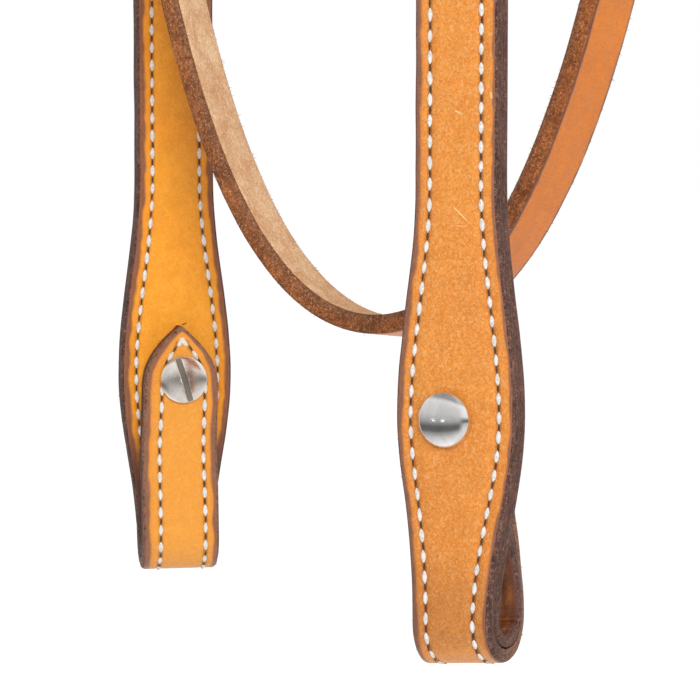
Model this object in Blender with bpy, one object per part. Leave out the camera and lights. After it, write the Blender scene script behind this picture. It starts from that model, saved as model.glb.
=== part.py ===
"""A western browband headstall, hung up by its crown as on a round bridle bracket.

Metres, +Z up. +X is the horse's left, -Y is the front. The origin is the middle of the crown's
underside, where it rests on the bracket. Every strap is swept along its own path from places:
a point, the direction across the strap, and the direction out of its grain face.
"""

import math

import bmesh
import bpy
from mathutils import Matrix, Quaternion, Vector

# Leather
ply = 0.0025
billet_ply = 0.0026
throat_ply = 0.0038
keeper_ply = 0.0017
glue_gap = 0.0003
touch_gap = 0.0003
edge_round = 0.0006
strap_width = 0.0163
crown_width = 0.0390
browband_width = 0.0190
throat_width = 0.0145
billet_width = 0.0150

# Where the straps hang
rest_radius = 0.0530
crown_drop = 0.160
lining_short = 0.032
cheek_forward = 0.0115
throat_back = 0.0115
throat_bar_below_crown = 0.045
cheek_bar_below_crown = 0.090
screw_below_bar = 0.227
throat_hinge_below_crown = 0.010
cheek_hinge_below_crown = 0.033
end_round_length = 0.006

# Cheeks: how far each turns about its own length, in degrees, and its swelling at the screw
billet_twist_deg = {"left": -26.0, "right": -6.0}
strap_twist_deg = {"left": -32.0, "right": -9.0}
loop_twist_deg = {"left": -5.0, "right": -5.0}
strap_twist_start = 0.078
strap_twist_length = 0.075
loop_twist_length = 0.020
cheek_lean_x = {"left": -0.0013, "right": 0.0}
cheek_lean_y = {"left": 0.0020, "right": -0.0009}
cheek_lean_length = 0.140
spread_width = 0.0238
spread_above = 0.042
spread_below = 0.036
loop_width = 0.0160
loop_drop = {"left": 0.0452, "right": 0.0413}
loop_inner_gap = 0.0056
loop_front_bulge = 0.0014
loop_clamp_length = 0.010
tab_width = 0.0157
tab_rise = 0.0107
tab_point_length = 0.0130
tab_tip_share = 0.10
cheek_tail = 0.034
fold_length = 0.012

# Buckles
wire_radius = 0.0018
tongue_radius = 0.0012
frame_length = 0.0235
frame_side_gap = 0.00075
heel_corner = 0.0022
front_corner = 0.0050
running_gap = 0.0003
front_bar_out = 0.0049
tongue_slot_width = 0.0046
tongue_slot_above = 0.0090
tongue_slot_below = 0.0056
tongue_past_bar = 0.0030
tongue_knee_rise = 0.0050
tongue_start_deg = 60.0
tongue_heel_deg = -45.0
billet_tail = 0.060
billet_point_length = 0.010
billet_tip_share = 0.12
hole_pitch = 0.019
hole_radius = 0.0018
spare_hole_steps = (-2, -1, 1, 2)
used_hole_length = 0.0095
keeper_height = 0.0080
keeper_play = 0.0005
fixed_keeper_drop = 0.023
sliding_keeper_drop = 0.046

# Browband
browband_drop = 0.105
crown_play = 0.0005
loop_converge = 0.013
loop_sewn = 0.020
browband_reach = 0.125
browband_bow = 0.007
browband_flat = 0.036
browband_tilt_deg = 24.0
browband_tilt_length = 0.060

# Chicago screws
cap_radius = 0.0051
cap_dome = 0.0020
cap_lip = 0.0005
post_radius = 0.0025
post_bore_radius = 0.0017
post_floor = 0.0010
post_short = 0.0006
shank_radius = 0.0013
head_radius = 0.0050
head_thickness = 0.0014
head_round = 0.0004
slot_width = 0.0012
slot_depth = 0.0007
slot_turn_deg = 17.0
screw_hole_gap = 0.0003
screw_aside = {"left": -0.0016, "right": 0.0002}
screw_lower = {"left": 0.0, "right": 0.0005}

# Throatlatch: its free curve is a catenary in a plane turned about the vertical
catenary_size = 0.02285
loop_half_span = 0.0455
loop_below_bar = 0.2565
loop_centre_x = 0.0060
loop_centre_y = 0.0041
loop_plane_deg = 30.0
throat_lead_drop = 0.060
throat_lead_inward = {"left": 0.0018, "right": 0.0094}
throat_lead_backward = {"left": 0.0090, "right": -0.0065}
throat_roll_deg = {"left": 3.3, "right": 8.6}
throat_roll_length = 0.060
throat_skive_length = 0.020
throat_tail = 0.034

# How finely curves are cut
strap_step = 0.0085
fine_step = 0.0055
crown_facets = 15
fold_facets = 7
eye_facets = 6
corner_facets = 3
hole_facets = 3
hole_sides = 12
dome_facets = 4
tongue_hook_facets = 6
tongue_sides = 6
round_sides = 16
wire_sides = 8
browband_steps = 12
throat_lead_steps = 7
loop_steps = 16

throat_bar_drop = crown_drop + throat_bar_below_crown
cheek_bar_drop = crown_drop + cheek_bar_below_crown
screw_drop = cheek_bar_drop + screw_below_bar
throat_hinge_drop = crown_drop + throat_hinge_below_crown
cheek_hinge_drop = crown_drop + cheek_hinge_below_crown
loop_bottom_drop = throat_bar_drop + loop_below_bar
half_ply_gap = glue_gap / 2
doubled_half = half_ply_gap + ply
hang_x = rest_radius + doubled_half
cheek_bar_z = -cheek_bar_drop
throat_bar_z = -throat_bar_drop
screw_z = -screw_drop
eye_radius = wire_radius + running_gap - half_ply_gap
loop_radius = loop_inner_gap / 2 + doubled_half
tab_out = -2 * doubled_half - touch_gap
browband_loop_half = doubled_half + crown_play - half_ply_gap
side_signs = {"left": 1.0, "right": -1.0}
up = Vector((0.0, 0.0, 1.0))


def ease(share):
    """0 to 1 with a level start and end."""
    share = min(max(share, 0.0), 1.0)
    return share * share * (3.0 - 2.0 * share)


def blend(start, end, share):
    return start + (end - start) * share


def shares(count):
    """count + 1 even shares from 0 to 1."""
    return [step / count for step in range(count + 1)]


def steps_for(length, step):
    return max(1, round(abs(length) / step))


# The scene, its finishes and the bodies that turn and slide

for old in list(bpy.data.objects):
    bpy.data.objects.remove(old, do_unlink=True)


def finish(name, colour, roughness, metallic=0.0):
    material = bpy.data.materials.new(name)
    material.use_nodes = True
    shader = material.node_tree.nodes["Principled BSDF"]
    shader.inputs["Base Color"].default_value = (*colour, 1.0)
    shader.inputs["Roughness"].default_value = roughness
    shader.inputs["Metallic"].default_value = metallic
    material.diffuse_color = (*colour, 1.0)
    return material


def leather_finish(name):
    return finish(name, (0.78, 0.36, 0.09), 0.5)


def lining_finish(name):
    return finish(name, (0.85, 0.47, 0.14), 0.6)


def throat_finish(name):
    return finish(name, (0.66, 0.30, 0.11), 0.6)


def steel_finish(name):
    return finish(name, (0.72, 0.71, 0.69), 0.22, 1.0)


def pivot(name, place, parent=None):
    """An empty on a joint's axis, which carries the pieces of one body."""
    empty = bpy.data.objects.new(name, None)
    empty.location = place - (parent["place"] if parent else Vector())
    empty.parent = parent["empty"] if parent else None
    bpy.context.scene.collection.objects.link(empty)
    return {"empty": empty, "place": Vector(place)}


def add_piece(name, mesh, body, make_finish):
    """Puts a mesh made in world coordinates on its body."""
    mesh.transform(Matrix.Translation(-body["place"]))
    mesh.shade_smooth()
    mesh.set_sharp_from_angle(angle=math.radians(35.0))
    piece = bpy.data.objects.new(name, mesh)
    piece.parent = body["empty"]
    piece.data.materials.append(make_finish(name))
    bpy.context.scene.collection.objects.link(piece)
    return piece


def add_cutter(name, mesh, body):
    mesh.transform(Matrix.Translation(-body["place"]))
    cutter = bpy.data.objects.new(name, mesh)
    cutter.parent = body["empty"]
    cutter.hide_render = True
    cutter.display_type = "WIRE"
    bpy.context.scene.collection.objects.link(cutter)
    return cutter


def cut(piece, cutter):
    modifier = piece.modifiers.new(cutter.name, "BOOLEAN")
    modifier.operation = "DIFFERENCE"
    modifier.solver = "EXACT"
    modifier.object = cutter


# Sweeps


def closed_mesh(name, shape):
    bmesh.ops.recalc_face_normals(shape, faces=shape.faces)
    mesh = bpy.data.meshes.new(name)
    shape.to_mesh(mesh)
    shape.free()
    return mesh


def sweep_into(shape, places, sections, closed=False):
    """Joins one section after another along the places, into a tube with ends or a ring. Each
    face is split the same way across a strap, so layers that twist together stay apart."""
    rings = []
    for (point, across, out), section in zip(places, sections):
        rings.append([shape.verts.new(point + across * a + out * b) for a, b in section])
    count = len(rings[0])
    joins = list(zip(rings, rings[1:])) + ([(rings[-1], rings[0])] if closed else [])
    for first, second in joins:
        for i in range(count):
            j = (i + 1) % count
            if sections[0][i][0] <= sections[0][j][0]:
                shape.faces.new((first[i], first[j], second[j]))
                shape.faces.new((first[i], second[j], second[i]))
            else:
                shape.faces.new((first[i], first[j], second[i]))
                shape.faces.new((first[j], second[j], second[i]))
    if not closed:
        shape.faces.new(rings[0])
        shape.faces.new(rings[-1])


def sweep(name, places, sections, closed=False):
    shape = bmesh.new()
    sweep_into(shape, places, sections, closed)
    return closed_mesh(name, shape)


def strap_section(half, low, high, round_low=True, round_high=True):
    """A strap's cross-section: half its width, from low to high out of its path, edges rounded."""
    soft = min(edge_round, 0.45 * half, 0.45 * (high - low))
    corners = []
    for side, level, other, rounded in (
        (-1.0, low, high, round_low),
        (-1.0, high, low, round_high),
        (1.0, high, low, round_high),
        (1.0, low, high, round_low),
    ):
        inward = 1.0 if other > level else -1.0
        edge = (side * half, level + inward * soft)
        face = (side * (half - soft), level)
        if not rounded:
            corners.append((side * half, level))
        elif (side < 0.0) == (level == high):
            corners += [edge, face]
        else:
            corners += [face, edge]
    return corners


def wire_section(radius, sides=wire_sides):
    turns = [math.tau * (i + 0.5) / sides for i in range(sides)]
    return [(radius * math.cos(turn), radius * math.sin(turn)) for turn in turns]


def turned(name, profile, centre, axis, sides=round_sides):
    """A solid of revolution from (radius, height) points, the first and last of them on the axis."""
    across = axis.orthogonal().normalized()
    other = axis.cross(across)
    shape = bmesh.new()
    rings = []
    for radius, height in profile[1:-1]:
        ring = []
        for i in range(sides):
            turn = math.tau * i / sides
            arm = across * math.cos(turn) + other * math.sin(turn)
            ring.append(shape.verts.new(centre + arm * radius + axis * height))
        rings.append(ring)
    ends = [shape.verts.new(centre + axis * profile[i][1]) for i in (0, -1)]
    for i in range(sides):
        j = (i + 1) % sides
        shape.faces.new((ends[0], rings[0][i], rings[0][j]))
        shape.faces.new((ends[1], rings[-1][i], rings[-1][j]))
        for first, second in zip(rings, rings[1:]):
            shape.faces.new((first[i], first[j], second[j], second[i]))
    return closed_mesh(name, shape)


# Hangs: each cheek and each end of the throatlatch hangs down a line of its own


class Hang:
    """The vertical line that a strap follows: its side, its place and how it turns about itself."""

    def __init__(self, side, line_y, bar_z, half_width, twisted):
        self.side = side
        self.sign = side_signs[side]
        self.line_y = line_y
        self.bar_z = bar_z
        self.half_width = half_width
        self.twisted = twisted

    def twist(self, z):
        if not self.twisted:
            return 0.0
        free_length = cheek_bar_drop - crown_drop - frame_length
        turn = billet_twist_deg[self.side] * ease((-crown_drop - z) / free_length)
        below_bar = self.bar_z - z
        turn += strap_twist_deg[self.side] * ease((below_bar - strap_twist_start) / strap_twist_length)
        turn += loop_twist_deg[self.side] * ease((screw_z - z) / loop_twist_length)
        return math.radians(turn)

    def out(self, z):
        turn = self.twist(z)
        return Vector((self.sign * math.cos(turn), self.sign * math.sin(turn), 0.0))

    def across(self, z):
        turn = self.twist(z)
        return Vector((-math.sin(turn), math.cos(turn), 0.0))

    def axis(self, z):
        hung = Vector((self.sign * hang_x, self.line_y, z))
        if not self.twisted:
            return hung
        lean = Vector((cheek_lean_x[self.side], cheek_lean_y[self.side], 0.0))
        return hung + lean * ease((self.bar_z - z) / cheek_lean_length)

    def point(self, out, z):
        return self.axis(z) + self.out(z) * out

    def places(self, path):
        """Places along a path of (out, z) points, each facing square to the path."""
        found = []
        for i, (out, z) in enumerate(path):
            before, after = path[max(i - 1, 0)], path[min(i + 1, len(path) - 1)]
            run, rise = after[0] - before[0], after[1] - before[1]
            length = math.hypot(run, rise)
            facing = self.out(z) * (-rise / length) + up * (run / length)
            found.append((self.point(out, z), self.across(z), facing))
        return found


left_cheek_hang = Hang("left", -cheek_forward, cheek_bar_z, strap_width / 2, True)
right_cheek_hang = Hang("right", -cheek_forward, cheek_bar_z, strap_width / 2, True)
left_throat_hang = Hang("left", throat_back, throat_bar_z, throat_width / 2, False)
right_throat_hang = Hang("right", throat_back, throat_bar_z, throat_width / 2, False)


def straight(out, start_z, end_z, step=strap_step):
    return [(out, blend(start_z, end_z, share)) for share in shares(steps_for(end_z - start_z, step))]


def eye_path(bar_z, tail):
    """Up the back, over the buckle's bar and down to where the two runs meet again."""
    base_z = bar_z - fold_length
    path = [(0.0, bar_z - tail), (0.0, blend(bar_z - tail, base_z, 0.5))]
    for share in shares(4)[:-1]:
        path.append((-eye_radius * ease(share), base_z + fold_length * share))
    for share in shares(eye_facets):
        turn = math.pi * (1.0 - share)
        path.append((eye_radius * math.cos(turn), bar_z + eye_radius * math.sin(turn)))
    for share in shares(4)[1:]:
        path.append((eye_radius * ease(1.0 - share), bar_z - fold_length * share))
    return path


# Crown


def crown_places(drop):
    """Places along the crown's middle layer, from its left end over the bracket to its right."""
    half_facet = math.pi / crown_facets / 2
    centre_z = -rest_radius * math.cos(half_facet)
    side_z = [-drop + end_round_length * share for share in shares(2)]
    side_z += [blend(side_z[-1], centre_z, share) for share in shares(4)[1:-1]]
    places = [(Vector((hang_x, 0.0, z)), Vector((0.0, 1.0, 0.0)), Vector((1.0, 0.0, 0.0))) for z in side_z]
    for share in shares(crown_facets):
        turn = math.pi * share
        out = Vector((math.cos(turn), 0.0, math.sin(turn)))
        places.append((Vector((0.0, 0.0, centre_z)) + out * hang_x, Vector((0.0, 1.0, 0.0)), out))
    for z in reversed(side_z):
        places.append((Vector((-hang_x, 0.0, z)), Vector((0.0, 1.0, 0.0)), Vector((-1.0, 0.0, 0.0))))
    return places


def rounded_end_halves(half, count):
    """Half widths along a strap whose two ends are cut round over their first two steps."""
    halves = [half] * count
    for step in range(2):
        trim = end_round_length * (1.0 - math.sqrt(1.0 - (1.0 - step / 2) ** 2))
        halves[step] = halves[-1 - step] = half - trim
    return halves


def make_crown(body):
    places = crown_places(crown_drop)
    halves = rounded_end_halves(crown_width / 2, len(places))
    sections = [strap_section(half, half_ply_gap, doubled_half, round_low=False) for half in halves]
    add_piece("crown_outer", sweep("crown_outer", places, sections), body, leather_finish)
    places = crown_places(crown_drop - lining_short)
    section = strap_section(crown_width / 2, -doubled_half, -half_ply_gap, round_high=False)
    mesh = sweep("crown_lining", places, [section] * len(places))
    add_piece("crown_lining", mesh, body, lining_finish)


# Buckles and billets


def curve_through(keys, at):
    """The value at a height on a smooth curve through (height, value) keys, highest first."""
    if at >= keys[0][0]:
        return keys[0][1]
    for i in range(len(keys) - 1):
        (top, first), (bottom, last) = keys[i], keys[i + 1]
        if at < bottom:
            continue
        slopes = []
        for j in (i, i + 1):
            inner = 0 < j < len(keys) - 1
            run = keys[j + 1][0] - keys[j - 1][0] if inner else 1.0
            slopes.append((keys[j + 1][1] - keys[j - 1][1]) / run if inner else 0.0)
        span = bottom - top
        t = (at - top) / span
        rise = t * (1.0 - t) ** 2 * span * slopes[0] - t * t * (1.0 - t) * span * slopes[1]
        return blend(first, last, ease(t)) + rise
    return keys[-1][1]


class Buckle:
    """Where the parts of one buckle lie on its hang, for a strap of one thickness round its bar."""

    def __init__(self, hang, strap_ply):
        self.hang = hang
        self.bar_z = hang.bar_z
        self.front_z = hang.bar_z + frame_length
        self.front_out = front_bar_out
        self.half = max(hang.half_width, billet_width / 2)
        self.layer_out = -half_ply_gap - billet_ply / 2
        self.under_bar_out = front_bar_out - wire_radius - running_gap - billet_ply / 2
        self.over_eye_out = eye_radius + half_ply_gap + strap_ply + touch_gap + billet_ply / 2
        self.over_strap_out = half_ply_gap + strap_ply + touch_gap + billet_ply / 2
        self.keys = [
            (-crown_drop, self.layer_out),
            (self.front_z, self.under_bar_out),
            (self.bar_z, self.over_eye_out),
            (self.bar_z - fold_length - billet_ply, self.over_strap_out),
        ]
        heel = math.radians(tongue_heel_deg)
        reach = wire_radius + running_gap + tongue_radius
        self.leave = (reach * math.cos(heel), self.bar_z + reach * math.sin(heel))
        self.knee = (
            self.over_eye_out + billet_ply / 2 + running_gap + tongue_radius,
            self.bar_z + tongue_knee_rise,
        )
        share = (self.over_eye_out - self.leave[0]) / (self.knee[0] - self.leave[0])
        self.crossing_z = blend(self.leave[1], self.knee[1], share)

    def billet_out(self, z):
        return curve_through(self.keys, z)

    def place(self, out, z):
        return self.hang.point(out, z)


def box_mesh(name, centre, axes, halves):
    """A box about a centre, with half a size along each of three directions."""
    shape = bmesh.new()
    corners = {}
    for a in (-1, 1):
        for b in (-1, 1):
            for c in (-1, 1):
                arms = [axis * half * sign for axis, half, sign in zip(axes, halves, (a, b, c))]
                corners[a, b, c] = shape.verts.new(centre + arms[0] + arms[1] + arms[2])
    for a in (-1, 1):
        shape.faces.new([corners[a, b, c] for b, c in ((-1, -1), (1, -1), (1, 1), (-1, 1))])
        shape.faces.new([corners[b, a, c] for b, c in ((-1, -1), (1, -1), (1, 1), (-1, 1))])
        shape.faces.new([corners[b, c, a] for b, c in ((-1, -1), (1, -1), (1, 1), (-1, 1))])
    return closed_mesh(name, shape)


def slot_section(radius, half_length):
    """The outline of a round-ended hole, longer along the strap than across it."""
    outline = []
    for end in (1.0, -1.0):
        for share in shares(hole_facets):
            turn = math.pi * (share - 0.5) + (math.pi / 2 if end > 0.0 else -math.pi / 2)
            outline.append((radius * math.cos(turn), end * half_length + radius * math.sin(turn)))
    return outline


def billet_cutter(name, buckle, body):
    """The round spare holes down a billet and the longer one that the tongue is in."""
    shape = bmesh.new()
    holes = [(buckle.crossing_z, used_hole_length / 2 - hole_radius)]
    holes += [(buckle.crossing_z + step * hole_pitch, 0.0) for step in spare_hole_steps]
    for z, half_length in holes:
        across, facing = buckle.hang.across(z), buckle.hang.out(z)
        centre = buckle.place(buckle.billet_out(z), z)
        ends = [(centre + facing * side * 3 * billet_ply, across, up) for side in (-1.0, 1.0)]
        if half_length:
            section = slot_section(hole_radius, half_length)
        else:
            section = wire_section(hole_radius)
        sweep_into(shape, ends, [section] * 2)
    return add_cutter(name, closed_mesh(name, shape), body)


def point_halves(half, tip_share, along):
    """Half a strap's width where it is along, from 0 to 1, into its point."""
    return half * max(1.0 - along ** 2.2, tip_share)


def make_billet(name, buckle, body):
    top_z = -crown_drop + lining_short - touch_gap
    tip_z = buckle.bar_z - billet_tail
    point_z = tip_z + billet_point_length
    heights = [blend(top_z, -crown_drop, share) for share in shares(2)]
    heights += [blend(-crown_drop, buckle.front_z, share) for share in shares(3)[1:]]
    heights += [blend(buckle.front_z, buckle.bar_z, share) for share in shares(5)[1:]]
    heights += [blend(buckle.bar_z, buckle.keys[-1][0], share) for share in shares(4)[1:]]
    heights += [blend(buckle.keys[-1][0], point_z, share) for share in shares(3)[1:]]
    heights += [blend(point_z, tip_z, share) for share in shares(4)[1:]]
    places = buckle.hang.places([(buckle.billet_out(z), z) for z in heights])
    sections = []
    for z in heights:
        along = max((point_z - z) / billet_point_length, 0.0)
        half = point_halves(billet_width / 2, billet_tip_share, along)
        sections.append(strap_section(half, -billet_ply / 2, billet_ply / 2))
    piece = add_piece(name, sweep(name, places, sections), body, leather_finish)
    cut(piece, billet_cutter(name + "_punch", buckle, body))
    return piece


def rounded_outline(corners):
    """Points and outward directions round a rectangle, from its corners as (u, v, radius)."""
    middle_u = sum(corner[0] for corner in corners) / len(corners)
    middle_v = sum(corner[1] for corner in corners) / len(corners)
    outline = []
    for i, (u, v, radius) in enumerate(corners):
        arc_u = u - math.copysign(radius, u - middle_u)
        arc_v = v - math.copysign(radius, v - middle_v)
        for share in shares(corner_facets):
            turn = (i + share) * math.pi / 2
            direction = (math.cos(turn), math.sin(turn))
            outline.append(((arc_u + radius * direction[0], arc_v + radius * direction[1]), direction))
    return outline


def make_frame(name, buckle, body):
    """The wire frame: a heel bar in the strap's fold, two sides and the front bar."""
    half = buckle.half + frame_side_gap + wire_radius
    heel = buckle.place(0.0, buckle.bar_z)
    front = buckle.place(buckle.front_out, buckle.front_z)
    rise = front - heel
    length = rise.length
    rise.normalize()
    across = buckle.hang.across(buckle.bar_z)
    normal = across.cross(rise)
    corners = [(half, length, front_corner), (-half, length, front_corner)]
    corners += [(-half, 0.0, heel_corner), (half, 0.0, heel_corner)]
    places = []
    for (u, v), (du, dv) in rounded_outline(corners):
        places.append((heel + across * u + rise * v, normal, across * du + rise * dv))
    mesh = sweep(name, places, [wire_section(wire_radius)] * len(places), closed=True)
    add_piece(name, mesh, body, steel_finish)


def make_tongue(name, buckle, body):
    """Wire bent round the heel bar, out through the billet's hole and over the front bar."""
    reach = wire_radius + running_gap + tongue_radius
    path = []
    for share in shares(tongue_hook_facets):
        turn = math.radians(blend(tongue_start_deg, tongue_heel_deg + 360.0, share))
        path.append((reach * math.cos(turn), buckle.bar_z + reach * math.sin(turn)))
    rest_out = buckle.front_out + wire_radius + running_gap + tongue_radius
    tip = (rest_out, buckle.front_z + tongue_past_bar)
    for share in shares(4)[1:]:
        path.append(tuple(blend(a, b, share) for a, b in zip(buckle.leave, buckle.knee)))
    for share in shares(3)[1:]:
        path.append((blend(buckle.knee[0], tip[0], ease(share)), blend(buckle.knee[1], tip[1], share)))
    places = buckle.hang.places(path)
    sections = [wire_section(tongue_radius, tongue_sides)] * len(places)
    add_piece(name, sweep(name, places, sections), body, steel_finish)


def make_keeper(name, buckle, drop, back_out, body, make_finish):
    """A leather band round the strap and the billet's tail."""
    z = buckle.bar_z - drop
    across, facing = buckle.hang.across(z), buckle.hang.out(z)
    centre = buckle.place(0.0, z)
    half = buckle.half + keeper_play
    low = back_out - keeper_play
    high = buckle.over_strap_out + billet_ply / 2 + keeper_play
    corner = keeper_ply / 2
    corners = [(half, high, corner), (-half, high, corner), (-half, low, corner), (half, low, corner)]
    places = []
    for (u, v), (du, dv) in rounded_outline(corners):
        places.append((centre + across * u + facing * v, up, across * du + facing * dv))
    section = strap_section(keeper_height / 2, 0.0, keeper_ply, round_low=False)
    mesh = sweep(name, places, [section] * len(places), closed=True)
    return add_piece(name, mesh, body, make_finish)


def tongue_slot(name, buckle, body):
    """The slot in a strap's fold that the tongue swings in."""
    axes = (buckle.hang.across(buckle.bar_z), buckle.hang.out(buckle.bar_z), up)
    tall = tongue_slot_above + tongue_slot_below
    centre = buckle.place(0.0, buckle.bar_z + tongue_slot_above - tall / 2)
    halves = (tongue_slot_width / 2, strap_width / 2, tall / 2)
    return add_cutter(name, box_mesh(name, centre, axes, halves), body)


# Cheeks


def cheek_half_width(z):
    if z > screw_z:
        return blend(spread_width, strap_width, ease((z - screw_z) / spread_above)) / 2
    return blend(spread_width, loop_width, ease((screw_z - z) / spread_below)) / 2


def tab_half_width(z):
    half = blend(tab_width, loop_width, ease((screw_z - z) / spread_below)) / 2
    along = (z - screw_z - tab_rise + tab_point_length) / tab_point_length
    return point_halves(half, tab_tip_share, max(along, 0.0))


def cheek_path(side, start_z):
    """From start_z down the front, round the bit loop and up the tab: (out, z) and half widths."""
    low_z = screw_z - loop_drop[side] + loop_radius + doubled_half
    clamp_z = screw_z - loop_clamp_length
    spread_z = screw_z + spread_above
    back_out = loop_front_bulge - 2 * loop_radius
    tail_z = cheek_bar_z - cheek_tail - touch_gap
    run = straight(0.0, start_z, tail_z)[:-1] if start_z > tail_z else []
    run += straight(0.0, tail_z, spread_z)[:-1] + straight(0.0, spread_z, clamp_z, fine_step)
    for share in shares(steps_for(clamp_z - low_z, fine_step))[1:-1]:
        run.append((loop_front_bulge * ease(share), blend(clamp_z, low_z, share)))
    halves = [cheek_half_width(z) for out, z in run]
    for share in shares(fold_facets):
        turn = -math.pi * share
        out = loop_front_bulge - loop_radius + loop_radius * math.cos(turn)
        run.append((out, low_z + loop_radius * math.sin(turn)))
        halves.append(loop_width / 2)
    rise = [(blend(back_out, tab_out, ease(share)), blend(low_z, clamp_z, share)) for share in shares(5)[1:]]
    point_z = screw_z + tab_rise - tab_point_length
    rise += straight(tab_out, clamp_z, point_z, fine_step)[1:]
    rise += [(tab_out, blend(point_z, screw_z + tab_rise, share)) for share in shares(6)[1:]]
    halves += [tab_half_width(z) for out, z in rise]
    return run + rise, halves


def screw_shift(hang):
    """How far the punched hole lies from the middle of the strap."""
    return hang.across(screw_z) * screw_aside[hang.side] - up * screw_lower[hang.side]


def screw_hole(name, hang, body):
    across = hang.across(screw_z)
    aside = screw_shift(hang)
    front = hang.point(doubled_half + ply, screw_z) + aside
    back = hang.point(tab_out - doubled_half - ply, screw_z) + aside
    shape = bmesh.new()
    section = wire_section(post_radius + screw_hole_gap, hole_sides)
    sweep_into(shape, [(front, across, up), (back, across, up)], [section] * 2)
    return add_cutter(name, closed_mesh(name, shape), body)


def make_cheek(hang, buckle, body):
    side = hang.side
    fold = eye_path(hang.bar_z, cheek_tail)
    run, halves = cheek_path(side, hang.bar_z - fold_length)
    outer_path = fold + run[1:]
    outer_halves = [hang.half_width] * len(fold) + halves[1:]
    sections = [strap_section(half, half_ply_gap, doubled_half, round_low=False) for half in outer_halves]
    name = side + "_cheek_outer"
    outer = add_piece(name, sweep(name, hang.places(outer_path), sections), body, leather_finish)
    run, halves = cheek_path(side, hang.bar_z - cheek_tail - touch_gap)
    sections = [strap_section(half, -doubled_half, -half_ply_gap, round_high=False) for half in halves]
    name = side + "_cheek_lining"
    lining = add_piece(name, sweep(name, hang.places(run), sections), body, lining_finish)
    hole = screw_hole(side + "_screw_hole", hang, body)
    cut(outer, tongue_slot(side + "_cheek_tongue_slot", buckle, body))
    cut(outer, hole)
    cut(lining, hole)


def make_bit_screw(hang, body, screw_body):
    """The domed post through all four layers from the grain side, and the slotted screw in it."""
    side = hang.side
    axis = hang.out(screw_z)
    aside = screw_shift(hang)
    stack = doubled_half - tab_out + doubled_half
    cap_seat = hang.point(doubled_half + touch_gap, screw_z) + aside
    dome = cap_lip + cap_dome
    profile = [(0.0, dome)]
    for share in shares(dome_facets)[1:]:
        turn = share * math.pi / 2
        profile.append((cap_radius * math.sin(turn), cap_lip + cap_dome * math.cos(turn)))
    length = touch_gap + stack - post_short
    profile += [(cap_radius, 0.0), (post_radius, 0.0), (post_radius, -length)]
    profile += [(post_bore_radius, -length), (post_bore_radius, -post_floor), (0.0, -post_floor)]
    name = side + "_bit_post"
    add_piece(name, turned(name, profile, cap_seat, axis), body, steel_finish)

    head_seat = hang.point(tab_out - doubled_half - touch_gap, screw_z) + aside
    shank = stack + 2 * touch_gap - post_floor - touch_gap
    profile = [(0.0, head_thickness), (head_radius - head_round, head_thickness)]
    profile += [(head_radius, head_thickness - head_round), (head_radius, 0.0)]
    profile += [(shank_radius, 0.0), (shank_radius, -shank), (0.0, -shank)]
    name = side + "_bit_screw"
    screw = add_piece(name, turned(name, profile, head_seat, -axis), screw_body, steel_finish)
    turn = math.radians(slot_turn_deg)
    across = hang.across(screw_z)
    along = up * math.cos(turn) - across * math.sin(turn)
    centre = head_seat - axis * head_thickness
    halves = (slot_width / 2, 2 * head_radius, slot_depth)
    mesh = box_mesh(name + "_slot", centre, (along.cross(axis), along, axis), halves)
    cut(screw, add_cutter(name + "_slot", mesh, screw_body))


# Browband


def browband_half():
    """Places of the left half's middle layer, from the tail of its loop to the forehead's middle,
    and how many of them lie before the lining starts."""
    edge = crown_width / 2
    converge_y, sewn_y = -edge - loop_converge, -edge - loop_converge - loop_sewn
    plan = [(0.0, sewn_y), (0.0, converge_y)]
    plan += [(-browband_loop_half * ease(share), blend(converge_y, -edge, share)) for share in shares(3)[1:]]
    for share in shares(eye_facets):
        turn = math.pi * (1.0 - share)
        plan.append((browband_loop_half * math.cos(turn), edge + browband_loop_half * math.sin(turn)))
    plan += [(browband_loop_half * ease(1.0 - share), blend(-edge, converge_y, share)) for share in shares(3)]
    plan.append((0.0, sewn_y))
    before_lining = len(plan)
    ends = [Vector((0.0, sewn_y)), Vector((browband_bow, sewn_y - 0.6 * browband_reach))]
    ends += [Vector((browband_flat - hang_x, sewn_y - browband_reach))]
    ends += [Vector((-hang_x, sewn_y - browband_reach))]
    for share in shares(browband_steps)[1:]:
        rest = 1.0 - share
        weights = (rest**3, 3 * rest * rest * share, 3 * rest * share * share, share**3)
        point = sum((end * weight for end, weight in zip(ends, weights)), Vector((0.0, 0.0)))
        plan.append((point.x, point.y))
    places = []
    z = -browband_drop
    for i, (out, y) in enumerate(plan):
        before, after = plan[max(i - 1, 0)], plan[min(i + 1, len(plan) - 1)]
        tilt = math.radians(browband_tilt_deg) * ease((converge_y - y) / browband_tilt_length)
        if i >= before_lining:
            z -= math.tan(tilt) * (plan[i - 1][1] - y)
        across = Vector((0.0, -math.sin(tilt), math.cos(tilt)))
        facing = Vector((before[1] - after[1], after[0] - before[0], 0.0))
        if i == len(plan) - 1:
            facing = Vector((0.0, -1.0, 0.0))
        facing = (facing - across * facing.dot(across)).normalized()
        places.append((Vector((hang_x + out, y, z)), across, facing))
    return places, before_lining


def mirrored(places):
    flip = Matrix.Diagonal((-1.0, 1.0, 1.0))
    return [tuple(flip @ part for part in place) for place in places]


def make_browband(body):
    places, before_lining = browband_half()
    whole = places + mirrored(places[:-1])[::-1]
    section = strap_section(browband_width / 2, half_ply_gap, doubled_half, round_low=False)
    mesh = sweep("browband_outer", whole, [section] * len(whole))
    add_piece("browband_outer", mesh, body, leather_finish)
    start, across, facing = places[before_lining - 1]
    first = (start - Vector((0.0, touch_gap, 0.0)), across, facing)
    places = [first] + places[before_lining:]
    whole = places + mirrored(places[:-1])[::-1]
    section = strap_section(browband_width / 2, -doubled_half, -half_ply_gap, round_high=False)
    mesh = sweep("browband_lining", whole, [section] * len(whole))
    add_piece("browband_lining", mesh, body, lining_finish)


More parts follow.
